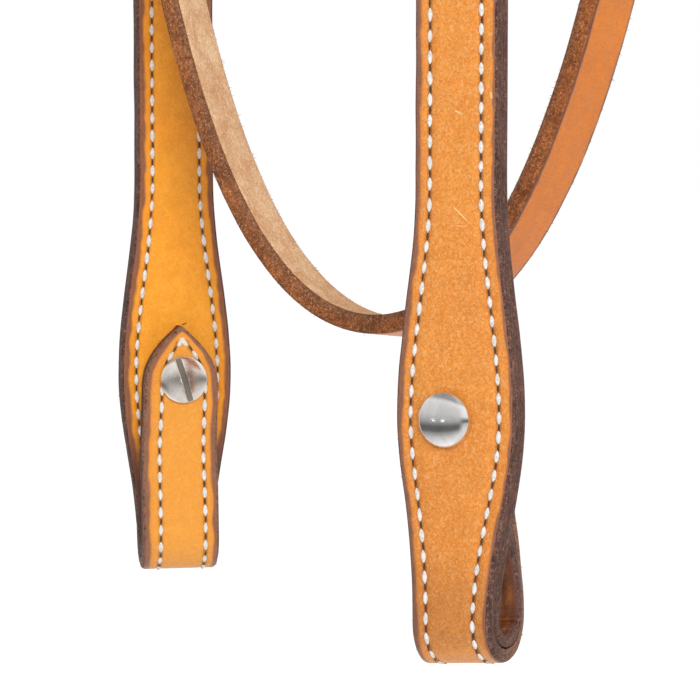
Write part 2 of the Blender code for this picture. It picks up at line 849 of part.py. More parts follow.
# Throatlatch


def between(first, first_slope, last, last_slope, share):
    """A point on a smooth curve, whose slopes are how far it would go in the whole step."""
    rest = 1.0 - share
    return (
        first.lerp(last, ease(share))
        + first_slope * share * rest * rest
        - last_slope * share * share * rest
    )


def throat_places():
    """Places along the throatlatch from its left tail round to its right one, and how thick it is
    at each: it is pared down where it's buckled."""
    plane = math.radians(loop_plane_deg)
    along = Vector((math.cos(plane), math.sin(plane), 0.0))
    hung_across = Vector((0.0, 1.0, 0.0))
    loop_across = up.cross(along)

    def on_loop(u):
        rise = catenary_size * (math.cosh(u / catenary_size) - 1.0)
        return Vector((loop_centre_x, loop_centre_y, rise - loop_bottom_drop)) + along * u

    line = []
    for hang, sign in ((left_throat_hang, 1.0), (right_throat_hang, -1.0)):
        end = on_loop(sign * loop_half_span)
        slope = math.sinh(loop_half_span / catenary_size)
        rising = (along * sign + up * slope).normalized()
        top = hang.point(0.0, hang.bar_z - billet_tail - touch_gap)
        middle = hang.point(-throat_lead_inward[hang.side], top.z - throat_lead_drop)
        middle.y += throat_lead_backward[hang.side]
        climb = (top - end) / 2
        lead = []
        for share in shares(throat_lead_steps):
            point = between(end, rising * (middle - end).length, middle, climb, share)
            lead.append((point, loop_across.lerp(hung_across, ease(share / 2)).normalized()))
        for share in shares(throat_lead_steps)[1:]:
            point = between(middle, climb, top, up * (top - middle).length, share)
            lead.append((point, loop_across.lerp(hung_across, ease(0.5 + share / 2)).normalized()))
        line.append(lead)
    left_lead, right_lead = line
    u_values = [blend(loop_half_span, -loop_half_span, share) for share in shares(loop_steps)]
    middle = [(on_loop(u), loop_across) for u in u_values[1:-1]]
    free = left_lead[::-1] + middle + right_lead
    places = []
    for i, (point, across) in enumerate(free):
        forward = (free[min(i + 1, len(free) - 1)][0] - free[max(i - 1, 0)][0]).normalized()
        across = (across - forward * across.dot(forward)).normalized()
        fallen = ease((left_throat_hang.bar_z - billet_tail - point.z) / throat_roll_length)
        roll = blend(throat_roll_deg["left"], throat_roll_deg["right"], i / (len(free) - 1))
        across.rotate(Quaternion(forward, math.radians(roll * fallen)))
        places.append((point, across, forward.cross(across)))
    hung = []
    for hang in (left_throat_hang, right_throat_hang):
        path = eye_path(hang.bar_z, throat_tail)
        top_z = hang.bar_z - billet_tail - touch_gap
        hung.append(hang.places(path + straight(0.0, path[-1][1], top_z, 2 * strap_step)[1:-1]))
    plies = [ply] * len(hung[0])
    for point, across, out in places:
        skived = (left_throat_hang.bar_z - billet_tail - point.z) / throat_skive_length
        plies.append(blend(ply, throat_ply, ease(skived)))
    plies += [ply] * len(hung[1])
    backward = [(point, across, out) for point, across, out in hung[1][::-1]]
    return hung[0] + places + backward, plies


def make_throatlatch(buckles, body):
    places, plies = throat_places()
    half = throat_width / 2
    sections = [strap_section(half, half_ply_gap, half_ply_gap + thick) for thick in plies]
    mesh = sweep("throatlatch_strap", places, sections)
    strap = add_piece("throatlatch_strap", mesh, body, throat_finish)
    for buckle in buckles:
        cut(strap, tongue_slot(buckle.hang.side + "_throat_tongue_slot", buckle, body))


# The assembly


def make_side_buckle(kind, buckle, strap_body, make_finish, back_out):
    """Frame, tongue and the two keepers of one buckle, with the tongue and a keeper free to move."""
    prefix = f"{buckle.hang.side}_{kind}_"
    tongue_body = pivot(prefix + "tongue_pivot", buckle.place(0.0, buckle.bar_z), strap_body)
    keeper_z = buckle.bar_z - sliding_keeper_drop
    keeper_body = pivot(prefix + "keeper_slide", buckle.place(0.0, keeper_z), strap_body)
    make_frame(prefix + "buckle", buckle, strap_body)
    make_tongue(prefix + "tongue", buckle, tongue_body)
    make_keeper(prefix + "fixed_keeper", buckle, fixed_keeper_drop, back_out, strap_body, make_finish)
    low = half_ply_gap if kind == "throat" else back_out
    make_keeper(prefix + "sliding_keeper", buckle, sliding_keeper_drop, low, keeper_body, make_finish)


crown_body = pivot("crown_frame", Vector((0.0, 0.0, 0.0)))
browband_body = pivot("browband_slide", Vector((0.0, 0.0, -browband_drop)), crown_body)
throat_body = pivot("throatlatch_hinge", Vector((0.0, throat_back, -throat_hinge_drop)), crown_body)

make_crown(crown_body)
make_browband(browband_body)

throat_buckles = []
for throat_hang in (left_throat_hang, right_throat_hang):
    throat_buckle = Buckle(throat_hang, ply)
    throat_buckles.append(throat_buckle)
    make_billet(throat_hang.side + "_throat_billet", throat_buckle, crown_body)
    make_side_buckle("throat", throat_buckle, throat_body, throat_finish, -doubled_half)
make_throatlatch(throat_buckles, throat_body)

for cheek_hang in (left_cheek_hang, right_cheek_hang):
    cheek_buckle = Buckle(cheek_hang, ply)
    cheek_side = cheek_hang.side
    cheek_hinge = cheek_hang.axis(-cheek_hinge_drop)
    cheek_body = pivot(cheek_side + "_cheek_hinge", cheek_hinge, crown_body)
    make_billet(cheek_side + "_cheek_billet", cheek_buckle, crown_body)
    make_cheek(cheek_hang, cheek_buckle, cheek_body)
    make_side_buckle("cheek", cheek_buckle, cheek_body, leather_finish, -doubled_half)
    screw_place = cheek_hang.point(0.0, screw_z) + screw_shift(cheek_hang)
    turning = pivot(cheek_side + "_bit_screw_axis", screw_place, cheek_body)
    make_bit_screw(cheek_hang, cheek_body, turning)
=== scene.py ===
"""A western browband headstall: its leather, thread and steel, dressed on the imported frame."""

import math

import bmesh
import bpy
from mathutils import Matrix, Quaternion, Vector, noise
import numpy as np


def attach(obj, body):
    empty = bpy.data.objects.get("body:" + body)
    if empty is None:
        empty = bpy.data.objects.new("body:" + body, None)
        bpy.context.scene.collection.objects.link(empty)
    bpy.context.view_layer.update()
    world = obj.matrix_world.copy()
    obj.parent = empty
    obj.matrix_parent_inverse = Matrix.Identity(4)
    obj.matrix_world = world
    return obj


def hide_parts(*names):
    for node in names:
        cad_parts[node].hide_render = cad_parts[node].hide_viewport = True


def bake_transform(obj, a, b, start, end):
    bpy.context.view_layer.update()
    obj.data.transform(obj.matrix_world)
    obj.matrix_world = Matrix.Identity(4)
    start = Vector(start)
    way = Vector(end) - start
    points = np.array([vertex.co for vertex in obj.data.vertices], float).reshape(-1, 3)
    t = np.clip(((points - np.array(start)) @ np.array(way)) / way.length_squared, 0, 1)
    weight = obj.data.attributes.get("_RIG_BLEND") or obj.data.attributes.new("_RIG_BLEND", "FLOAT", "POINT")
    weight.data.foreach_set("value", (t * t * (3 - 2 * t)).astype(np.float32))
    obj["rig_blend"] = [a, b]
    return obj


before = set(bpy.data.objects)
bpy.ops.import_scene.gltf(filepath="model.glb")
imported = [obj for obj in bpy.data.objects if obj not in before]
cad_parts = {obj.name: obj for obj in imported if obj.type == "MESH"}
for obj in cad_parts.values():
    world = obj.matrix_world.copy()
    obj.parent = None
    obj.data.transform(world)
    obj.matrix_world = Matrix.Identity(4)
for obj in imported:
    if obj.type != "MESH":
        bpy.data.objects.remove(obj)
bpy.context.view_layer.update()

# Studio. The headstall hangs from a bracket high over a pale floor in plain soft daylight. Large
# soft lamps stand in front, at the side and behind, and steel mirrors a drum of cards.

camera_place = Vector((0.4678, -0.2712, -0.427))
camera_pitch = math.radians(4.4)
camera_turn = math.radians(60.0)
photo_focal_px = 2727.0
photo_px = 700.0
floor_z = -1.15
floor_size = 60.0
floor_glow = 0.62
ambient_glow = 0.50
object_middle = Vector((0.0, 0.0, -0.42))
white = (1.0, 1.0, 1.0, 1.0)


def fill(tree, made, values):
    """Gives a node its values. One that is a socket is linked, and any other is typed in."""
    for key, value in values.items():
        if isinstance(value, bpy.types.NodeSocket):
            tree.links.new(value, made.inputs[key])
        else:
            made.inputs[key].default_value = value


def node(tree, kind, values=None, **settings):
    made = tree.nodes.new(kind)
    for key, value in settings.items():
        setattr(made, key, value)
    fill(tree, made, values or {})
    return made


def calc(tree, first, kind, second, clamp=False):
    values = {0: first, 1: second}
    return node(tree, "ShaderNodeMath", values, operation=kind, use_clamp=clamp).outputs[0]


def glow(tree, kind, colour, strength):
    return node(tree, kind, {"Color": colour, "Strength": strength}).outputs[0]


def empty_tree(owner):
    owner.use_nodes = True
    owner.node_tree.nodes.clear()
    return owner.node_tree


def end_background(tree, output, lit, seen):
    """Ends a tree: seen is for the camera's, mirrored and bent rays, and lit for all others."""
    path = node(tree, "ShaderNodeLightPath").outputs
    direct = calc(tree, path["Is Camera Ray"], "ADD", path["Is Glossy Ray"])
    direct = calc(tree, direct, "ADD", path["Is Transmission Ray"], True)
    both = node(tree, "ShaderNodeMixShader", {0: direct, 1: lit, 2: seen})
    node(tree, output, {"Surface": both.outputs[0]})


def placed(name, mesh, finishes=()):
    """Puts a mesh in the scene, with its finishes in order."""
    for finish in finishes:
        mesh.materials.append(finish)
    made = bpy.data.objects.new(name, mesh)
    scene.collection.objects.link(made)
    return made


scene = bpy.context.scene
scene.view_settings.view_transform = "Standard"

camera_data = bpy.data.cameras.new("photo_camera")
camera_data.sensor_width = 36.0
camera_data.lens = photo_focal_px / photo_px * camera_data.sensor_width
camera_data.clip_start = 0.01
camera = bpy.data.objects.new("photo_camera", camera_data)
camera.location = camera_place
looking = Vector((-math.sin(camera_turn), math.cos(camera_turn), 0.0)) * math.cos(camera_pitch)
looking.z = -math.sin(camera_pitch)
camera.rotation_euler = looking.to_track_quat("-Z", "Y").to_euler()
scene.collection.objects.link(camera)
scene.camera = camera

scene.world = bpy.data.worlds.new("white_studio")
tree = empty_tree(scene.world)
ambient = glow(tree, "ShaderNodeBackground", (1.0, 0.99, 0.98, 1.0), ambient_glow)
end_background(tree, "ShaderNodeOutputWorld", ambient, glow(tree, "ShaderNodeBackground", white, 1.0))

floor_finish = bpy.data.materials.new("pale_floor")
tree = empty_tree(floor_finish)
matt = node(tree, "ShaderNodeBsdfDiffuse", {"Color": (0.9, 0.9, 0.9, 1.0)}).outputs[0]
lifted = {0: matt, 1: glow(tree, "ShaderNodeEmission", white, floor_glow)}
lifted = node(tree, "ShaderNodeAddShader", lifted).outputs[0]
end_background(tree, "ShaderNodeOutputMaterial", matt, lifted)
floor_mesh = bpy.data.meshes.new("floor")
far = floor_size / 2
corners = [(-far, -far, floor_z), (far, -far, floor_z), (far, far, floor_z), (-far, far, floor_z)]
floor_mesh.from_pydata(corners, [], [(0, 1, 2, 3)])
placed("floor", floor_mesh, [floor_finish])

# What polished steel mirrors: a drum of cards seen by mirrored rays alone. Each row of it has a
# radius, a height and its brightness towards the front and towards the side, where the flat
# screw heads face. Two small bright cards stand for the photographer's lamps.

drum_rows = (
    (0.02, -1.14, 1.05, 0.8), (0.30, -1.14, 1.05, 0.8), (0.6, -1.14, 0.9, 0.8), (1.0, -1.14, 0.62, 0.8),
    (1.0, -0.95, 0.34, 0.8), (1.0, -0.87, 0.14, 0.75), (1.0, -0.73, 0.13, 0.7), (1.0, -0.66, 0.26, 0.5),
    (1.0, -0.60, 0.42, 0.16), (1.0, -0.52, 0.54, 0.12), (1.0, -0.44, 0.62, 0.6), (1.0, -0.35, 0.7, 0.95),
    (1.0, 0.12, 0.92, 1.0), (1.0, 0.28, 0.67, 1.0), (1.0, 0.5, 0.38, 0.6), (0.02, 0.5, 0.38, 0.6),
)
drum_steps = 48
drum_start_deg = -160.0
drum_step_deg = 5.0
side_start_deg = -40.0
side_blend_deg = 25.0
flash_turns_deg = (-93.0, -75.0)
flash_half_deg = 1.0
flash_half_height = 0.02
flash_radius = 0.97
flash_z = -0.57
flash_glow = 4.0

drum = bmesh.new()
glowing = drum.verts.layers.float.new("glow")


def drum_point(turn_deg, radius, height, brightness):
    way = math.radians(turn_deg)
    made = drum.verts.new((radius * math.cos(way), radius * math.sin(way), height))
    made[glowing] = brightness
    return made


columns = []
for step in range(drum_steps + 1):
    turn = drum_start_deg + drum_step_deg * step
    share = min(max((turn - side_start_deg) / side_blend_deg, 0.0), 1.0)
    rows = [(radius, z, front + (side - front) * share) for radius, z, front, side in drum_rows]
    columns.append([drum_point(turn, *row) for row in rows])
for first, second in zip(columns, columns[1:]):
    for i in range(len(first) - 1):
        drum.faces.new((first[i], second[i], second[i + 1], first[i + 1]))
for turn in flash_turns_deg:
    corners = []
    for right, rise in ((-1, -1), (1, -1), (1, 1), (-1, 1)):
        at = turn + right * flash_half_deg
        corners.append(drum_point(at, flash_radius, rise * flash_half_height + flash_z, flash_glow))
    drum.faces.new(corners)
mesh = bpy.data.meshes.new("mirrored_cards")
drum.to_mesh(mesh)
drum.free()
card_finish = bpy.data.materials.new("mirrored_cards")
tree = empty_tree(card_finish)
bright = node(tree, "ShaderNodeAttribute", attribute_name="glow").outputs["Fac"]
bright = glow(tree, "ShaderNodeEmission", white, bright)
node(tree, "ShaderNodeOutputMaterial", {"Surface": bright})
cards = placed("mirrored_cards", mesh, [card_finish])
cards.visible_camera = cards.visible_diffuse = cards.visible_shadow = cards.visible_transmission = False

for name, place, power, width, height in (
    ("front_lamp", (0.75, -1.35, 0.10), 1.6, 0.7, 0.7),
    ("side_lamp", (1.40, -0.50, 0.05), 16.0, 0.7, 0.8),
    ("back_lamp", (-1.0, 1.0, 0.3), 4.0, 0.9, 0.9),
):
    data = bpy.data.lights.new(name, "AREA")
    data.shape = "RECTANGLE"
    data.size, data.size_y, data.energy = width, height, power
    lamp = bpy.data.objects.new(name, data)
    lamp.location = place
    lamp.rotation_euler = (object_middle - Vector(place)).to_track_quat("-Z", "Y").to_euler()
    lamp.visible_glossy = False
    scene.collection.objects.link(lamp)

# Crown: the strap over the poll, a long outer layer sewn to a shorter lining, both cut from
# russet skirting leather with the grain outwards. The outer's two ends are cut round, and the
# billets are sewn in between the layers, so two rows of white thread run all round its edges.

ply = 0.0025
half_ply_gap = 0.00015
doubled_half = half_ply_gap + ply
crown_width = 0.0390
crown_drop = 0.160
lining_short = 0.032
end_round_length = 0.006
end_round_steps = 6
hang_x = 0.05565
rest_radius = 0.0530
hanging_steps = 24
over_steps = 64
stitch_inset = 0.0031
groove_width = 0.0007
groove_depth = 0.00028
groove_fade = 0.001
edge_soft = 0.0009
edge_crown = 0.04
back_edge_soft = 0.00008
edge_wander = 0.00010
wander_scale = (130.0, 90.0)
pucker_scale = (620.0, 110.0)
thread_pitch = 0.0036
thread_sunk = 0.00012
up = Vector((0.0, 0.0, 1.0))
both_edges = (-1.0, 1.0)


def ease(share):
    share = min(max(share, 0.0), 1.0)
    return share * share * (3.0 - 2.0 * share)


def blend(start, end, share):
    return start + (end - start) * share


def shares(count):
    return [step / count for step in range(count + 1)]


def arc(u, v, radius, first_deg, last_deg, steps):
    """Points along part of a circle round (u, v)."""
    turns = [math.radians(blend(first_deg, last_deg, share)) for share in shares(steps)]
    return [(u + radius * math.cos(turn), v + radius * math.sin(turn)) for turn in turns]


def mix(tree, factor, *tones):
    """A colour mixed from two, each a socket or three numbers. The factor is either too."""
    first, second = (tone if isinstance(tone, bpy.types.NodeSocket) else (*tone, 1.0) for tone in tones)
    return node(tree, "ShaderNodeMix", {0: factor, 6: first, 7: second}, data_type="RGBA").outputs[2]


def ramp(tree, value, low, high, start=0.0, end=1.0):
    """Maps a value from low..high to start..end, and holds it there beyond."""
    return node(tree, "ShaderNodeMapRange", {0: value, 1: low, 2: high, 3: start, 4: end}).outputs[0]


def layered(tree, tone, *layers):
    """Lays colours on a tone in turn, each as thick as its value, ramped, makes it."""
    for colour, *ramped in layers:
        tone = mix(tree, ramp(tree, *ramped), tone, colour)
    return tone


def spots(tree, place, scale, detail=3.0, twist=0.0, rough=0.5):
    """Noise in 0..1. With three scales it is drawn out along the place's axes."""
    if isinstance(scale, tuple):
        place, scale = node(tree, "ShaderNodeMapping", {"Vector": place, "Scale": scale}).outputs[0], 1.0
    values = {"Vector": place, "Scale": scale, "Detail": detail, "Distortion": twist, "Roughness": rough}
    return node(tree, "ShaderNodeTexNoise", values).outputs[0]


def bumped(tree, *bumps):
    """A surface raised by several (height, strength, depth), each on top of the last."""
    surface = {}
    for height, strength, depth in bumps:
        values = {"Height": height, "Strength": strength, "Distance": depth, **surface}
        surface = {"Normal": node(tree, "ShaderNodeBump", values).outputs[0]}
    return surface


def read(tree, name):
    return node(tree, "ShaderNodeAttribute", attribute_name=name).outputs["Fac"]


def new_look(name):
    """A new material, its tree, and the place of each point in the object and along the strap."""
    made = bpy.data.materials.new(name)
    made.use_nodes = True
    tree = made.node_tree
    place = node(tree, "ShaderNodeTexCoord").outputs["Object"]
    return made, tree, place, node(tree, "ShaderNodeUVMap", uv_map="strap").outputs[0]


def shade(tree, tone, rough, surface, **settings):
    """Gives a material's shader its colour, roughness and bumps, and its other settings."""
    values = {"Base Color": tone, "Roughness": rough, **surface}
    values.update({key.replace("_", " "): value for key, value in settings.items()})
    fill(tree, tree.nodes["Principled BSDF"], values)


def marked(tree, tone, place, ragged, marks):
    """Lays small marks on a tone. Each is a thin ellipse from one point of the strap to another."""
    for start, end, half_width, colour, strength in marks:
        start, end = Vector(start), Vector(end)
        size = ((end - start).length / 2, half_width, half_width)
        lie = (end - start).to_track_quat("X", "Z").to_euler()
        values = {"Vector": place, "Location": (start + end) / 2, "Rotation": lie, "Scale": size}
        inside = node(tree, "ShaderNodeMapping", values, vector_type="TEXTURE").outputs[0]
        reach = node(tree, "ShaderNodeVectorMath", {0: inside}, operation="LENGTH").outputs["Value"]
        reach = calc(tree, ramp(tree, ragged, 0.35, 0.65, -0.45, 0.45), "ADD", reach)
        tone = layered(tree, tone, (colour, reach, 0.6, 1.1, strength, 0.0))
    return tone


def tinted(colour, *parts):
    """A colour with its red, green and blue multiplied, by one number or by three."""
    return tuple(part * k for part, k in zip(colour, parts if len(parts) == 3 else parts * 3))


def leather(name, light, deep, burnt, rim_width=0.0011, crease=0.5, craze=1.0, marks=()):
    """Smooth grain: cloudy tan with pores and creases, burnt at its cut rim and in its grooves."""
    made, tree, place, strap = new_look(name)
    clouds = spots(tree, place, 55.0, 4.0, 0.5, 0.62)
    blotches = spots(tree, place, 330.0, 4.0, 0.4, 0.66)
    fibres = spots(tree, strap, (420.0, 1500.0, 1.0), 4.0, 0.8, 0.62)
    pores = node(tree, "ShaderNodeTexVoronoi", {"Vector": place, "Scale": 1250.0}).outputs[0]
    creases = spots(tree, strap, (900.0, 300.0, 1.0), 5.0, 1.6, 0.6)
    crazed = spots(tree, place, 2100.0, 3.0, 1.0, 0.70)
    rubbed = spots(tree, strap, (120.0, 420.0, 1.0), 6.0, 1.4, 0.66)
    wavy = ramp(tree, spots(tree, place, 210.0, 1.0), 0.35, 0.65, -0.00018, 0.00018)
    rim, wear = calc(tree, wavy, "ADD", read(tree, "rim")), read(tree, "wear")
    tone = mix(tree, ramp(tree, clouds, 0.34, 0.68), deep, light)
    mottled = mix(tree, ramp(tree, blotches, 0.32, 0.68), tinted(light, 0.80), tinted(light, 1.12))
    tone = layered(
        tree, mix(tree, 0.5, tone, mottled),
        (tinted(light, 1.0, 1.35, 4.0), crazed, 0.49, 0.63, 0.0, 0.65 * craze),
        (deep, crazed, 0.34, 0.49, 0.8 * craze, 0.0),
        (deep, fibres, 0.50, 0.78, 0.0, 0.42),
        (deep, creases, 0.30, 0.44, 0.34, 0.0),
        (burnt, pores, 0.0, 0.28, 0.16, 0.0),
        ((0.93, 0.66, 0.36), rubbed, 0.72, 0.78, 0.0, 0.7),
    )
    # Painted light: where the wear is below zero, on the back of a bit loop and its tab, the tone is made
    # lighter and yellower, for the stronger light on the far cheek's tab.
    tone = mix(tree, calc(tree, wear, "MULTIPLY", -0.6, True), tone, tinted(light, 1.0, 1.15, 1.0))
    singed = mix(tree, ramp(tree, fibres, 0.40, 0.66), tinted(burnt, 0.72), burnt)
    tone = layered(
        tree, tone,
        (deep, rim, rim_width, rim_width * 2.0, 0.45, 0.0),
        (singed, rim, rim_width * 0.85, rim_width * 1.25, 0.92, 0.0),
        ((0.17, 0.06, 0.022), read(tree, "groove"), 0.15, 0.95, 0.0, 0.5),
    )
    # Grime darkens where the wear is above zero; where the wear is lessened on the lining's wrinkle ridges,
    # the lighter ridges are a painted highlight.
    grime_and_ridge_highlight = calc(tree, ramp(tree, blotches, 0.36, 0.62, 1.0, 0.84), "MULTIPLY", wear, True)
    tone = marked(tree, mix(tree, grime_and_ridge_highlight, tone, (0.15, 0.05, 0.03)), place, crazed, marks)
    surface = bumped(
        tree, (pores, 0.25, 0.0002), (creases, 0.6 * crease, 0.0003), (blotches, 0.30, 0.0005),
        (crazed, 0.7, 0.0003),
    )
    rough = ramp(tree, blotches, 0.3, 0.7, 0.36, 0.52)
    shade(tree, tone, rough, surface, Specular_IOR_Level=0.35, Coat_Weight=0.06, Coat_Roughness=0.32)
    return made


def cut_leather(name, base, dark, pale, fuzz=0.5, rough=0.62, inner=None, nap_scale=1700.0,
                rim=0.0, streak=0.55):
    """A cut edge or flesh side: packed fibres along the strap, dark where dyed and burnished."""
    made, tree, place, strap = new_look(name)
    patches = spots(tree, place, 170.0, 4.0, 0.8, 0.65)
    layers = spots(tree, strap, (210.0, 1900.0, 1.0), 4.0, 0.9, 0.6)
    nap = spots(tree, place, nap_scale, 3.0, 1.2, 0.7)
    tone = mix(tree, ramp(tree, patches, 0.35, 0.65), dark, base)
    worn = mix(tree, ramp(tree, nap, 0.4, 0.62), (0.22, 0.095, 0.055), (0.40, 0.20, 0.12))
    tone = mix(tree, calc(tree, read(tree, "wear"), "MULTIPLY", -0.85, True), tone, worn)
    if inner:
        tone = layered(tree, tone, (inner, read(tree, "deep"), 0.0018, 0.0030, 0.0, 0.7))
    tone = layered(
        tree, tone,
        (pale, layers, 0.50, 0.74, 0.0, streak),
        (dark, nap, 0.40, 0.50, 0.75, 0.0),
        (pale, nap, 0.53, 0.63, 0.0, 0.6),
    )
    if rim:
        ragged = calc(tree, ramp(tree, nap, 0.35, 0.65, -0.5 * rim, 0.5 * rim), "ADD", read(tree, "rim"))
        tone = layered(tree, tone, ((0.16, 0.066, 0.034), ragged, rim, rim * 1.3, 0.9, 0.0))
    surface = bumped(tree, (nap, 0.7 * fuzz, 0.0003), (layers, 0.6 * fuzz, 0.0004))
    shade(tree, tone, ramp(tree, nap, 0.3, 0.7, rough - 0.1, rough + 0.2), surface, Specular_IOR_Level=0.25)
    return made


cream, pink, slit = (1.0, 0.74, 0.30), (0.95, 0.42, 0.14), (0.10, 0.035, 0.015)
near_marks = [
    ((0.05574, -0.01175, -0.42178), (0.05710, -0.01091, -0.42242), 0.00016, cream, 0.9),
    ((0.06162, -0.00799, -0.41835), (0.06182, -0.00787, -0.41985), 0.00024, cream, 0.6),
    ((0.05545, -0.01194, -0.43880), (0.05790, -0.01041, -0.44135), 0.00014, cream, 0.9),
    ((0.05580, -0.01171, -0.44224), (0.05790, -0.01040, -0.44230), 0.00015, pink, 0.9),
    ((0.05850, -0.01004, -0.43940), (0.05940, -0.00948, -0.43890), 0.00008, cream, 0.5),
]
far_marks = [((-0.05284, -0.01214, -0.46638), (-0.05254, -0.01104, -0.46584), 0.00018, slit, 0.9)]
russet_grain = leather(
    "russet_grain", (0.91, 0.335, 0.040), (0.74, 0.215, 0.025), (0.31, 0.135, 0.085), craze=1.3,
    marks=near_marks,
)
# The lining grain is lighter than the russet grain: partly its own tone, partly painted light that brightens
# the far cheek's face, where the lining shows.
lining_grain = leather(
    "lining_grain", (1.0, 0.41, 0.024), (0.92, 0.29, 0.013), (0.28, 0.105, 0.065), crease=0.4, craze=0.6,
    marks=far_marks,
)
dyed_edge = cut_leather("dyed_edge", (0.135, 0.063, 0.048), (0.052, 0.023, 0.019), (0.38, 0.19, 0.12))
flesh_side = cut_leather(
    "flesh_side", (0.66, 0.36, 0.19), (0.42, 0.20, 0.10), (0.80, 0.52, 0.32), 0.8, 0.8, rim=0.0025
)
russet = [russet_grain, dyed_edge, flesh_side]
linings = [lining_grain, dyed_edge, flesh_side]


def strap_profile(half, thick, inset, soft, back_soft, sink):
    """A strap's cross-section from the middle of its shown face round by its right edge to the
    middle of its back, as (across, height, kind of the face after the point, share of sink)."""
    soft, back_soft = (min(size, 0.45 * thick, 0.6 * half) for size in (soft, back_soft))
    row = max(half - inset, 0.3 * half)
    reach = min(groove_width, 0.45 * row, 0.8 * max(half - soft - row, 0.0002))
    points = [(share * (row - reach), thick, 0, 0.0) for share in (0.0, 0.35, 0.7, 1.0)]
    for share, sunk in ((-0.5, 0.7), (0.0, 1.0), (0.5, 0.7), (1.0, 0.0)):
        points.append((row + share * reach, thick - sink * sunk, 0, sunk if sink else 0.0))
    points.append((blend(row + reach, half - soft, 0.5), thick, 0, 0.0))
    for share in shares(3):
        turn = share * math.pi / 2
        height = thick - soft + soft * math.cos(turn)
        points.append((half - soft + soft * math.sin(turn), height, int(share >= 0.3), 0.0))
    points.append((half + edge_crown * thick, 0.5 * thick, 1, 0.0))
    for share in shares(3):
        turn = share * math.pi / 2
        height = back_soft - back_soft * math.sin(turn)
        points.append((half - back_soft + back_soft * math.cos(turn), height, 1 if share < 0.9 else 2, 0.0))
    return points + [(0.6 * (half - back_soft), 0.0, 2, 0.0), (0.0, 0.0, 2, 0.0)]


def finished(name, shape, finishes, sharp_deg=50.0):
    """Turns a shape's faces outwards and makes the piece."""
    bmesh.ops.recalc_face_normals(shape, faces=shape.faces)
    mesh = bpy.data.meshes.new(name)
    shape.to_mesh(mesh)
    shape.free()
    mesh.shade_smooth()
    mesh.set_sharp_from_angle(angle=math.radians(sharp_deg))
    return placed(name, mesh, finishes)


def each(value, count):
    return value if isinstance(value, list) else [value] * count


def strap_piece(name, places, half, base, thick, finishes, inset=0.0, flip=False, closed=False,
                soft=edge_soft, back_soft=back_edge_soft, wander=edge_wander, burn=(1.0, 1.0),
                worn=0.0, fuzz=0.0, pucker=0.0):
    """A strap as one closed skin along its places. Its shown face lies at base + thick out of
    the path, or with flip at base - thick. finishes are for that face, its cut edge and its back.
    inset and burn, how far the burnt rim reaches in, may differ between the two edges."""
    count, side = len(places), -1.0 if flip else 1.0
    inset = inset if isinstance(inset, tuple) else (inset, inset)
    halves, thicks, wear_and_painted_light, fuzzes, puckers, *sided = (
        each(value, count) for value in (half, thick, worn, fuzz, pucker, *inset, *burn)
    )
    insets, burns = sided[:2], sided[2:]
    shape = bmesh.new()
    uv, floats = shape.loops.layers.uv.new("strap"), shape.verts.layers.float
    rim, groove, deep, wear = [floats.new(label) for label in ("rim", "groove", "deep", "wear")]
    fuzzy = shape.faces.layers.float.new("fuzz")
    (long, wide), (short, thin) = wander_scale, pucker_scale
    rings, runs = [], []
    for i, (point, across, out) in enumerate(places):
        runs.append(runs[-1] + (point - places[i - 1][0]).length if i else 0.0)
        sink = groove_depth * ease((halves[i] - insets[0][i]) / groove_fade) if insets[0][i] else 0.0
        left, right = (
            strap_profile(halves[i], thicks[i], way[i] or stitch_inset, soft, back_soft, sink)
            for way in insets
        )
        left = [(-a, b, left[j - 1][2], g) for j, (a, b, kind, g) in enumerate(left)][1:-1][::-1]
        ring = []
        for a, b, kind, g in right + left:
            sway = noise.noise(Vector((runs[i] * long, a * wide, len(name) * 3.7))) * wander
            ridge = noise.noise(Vector((runs[i] * short, a * thin, 4.1))) * puckers[i]
            rise = base + side * (b + ridge if b > 0.6 * thicks[i] else b)
            vert = shape.verts.new(point + across * (a + sway * a / halves[i]) + out * rise)
            vert[rim] = (halves[i] - abs(a)) / burns[int(a > 0.0)][i]
            # The wear attribute holds wear above zero, and painted light where it is below zero or lessened
            # on wrinkle ridges.
            vert[groove], vert[deep], vert[wear] = g, thicks[i] - b, wear_and_painted_light[i]
            ring.append((vert, a, kind, math.copysign(abs(a) + thicks[i] - b, a)))
        rings.append(ring)
    size = len(rings[0])
    for i in range(count if closed else count - 1):
        k = (i + 1) % count
        end = runs[k] if k else runs[-1] + (places[0][0] - places[-1][0]).length
        for j in range(size):
            first, second = rings[i][j], rings[i][(j + 1) % size]
            face = shape.faces.new((first[0], second[0], rings[k][(j + 1) % size][0], rings[k][j][0]))
            face.material_index, edge = first[2], first[2] == 1
            face[fuzzy] = fuzzes[i] if edge else 0.0
            v = (first[3], second[3]) if edge else (first[1], second[1])
            corners = ((runs[i], v[0]), (runs[i], v[1]), (end, v[1]), (end, v[0]))
            for loop, corner in zip(face.loops, corners):
                loop[uv].uv = corner
    for ring in () if closed else (rings[0], rings[-1][::-1]):
        face = shape.faces.new([entry[0] for entry in ring])
        face.material_index = 1
        for loop, entry in zip(face.loops, ring):
            loop[uv].uv = (entry[1], entry[3])
    return finished(name, shape, finishes)


def vary(tree, seed, low, high, kind="FLOAT"):
    """A random number, or three with FLOAT_VECTOR, for each point."""
    spread = {2: low, 3: high} if kind == "FLOAT" else {0: low, 1: high}
    made = node(tree, "FunctionNodeRandomValue", {**spread, "Seed": seed}, data_type=kind)
    return made.outputs[1 if kind == "FLOAT" else 0]


def xyz(tree, *parts):
    return node(tree, "ShaderNodeCombineXYZ", dict(enumerate(parts))).outputs[0]


def turned(tree, rotation, by):
    values = {0: rotation, 1: by}
    return node(tree, "FunctionNodeRotateRotation", values, rotation_space="LOCAL").outputs[0]


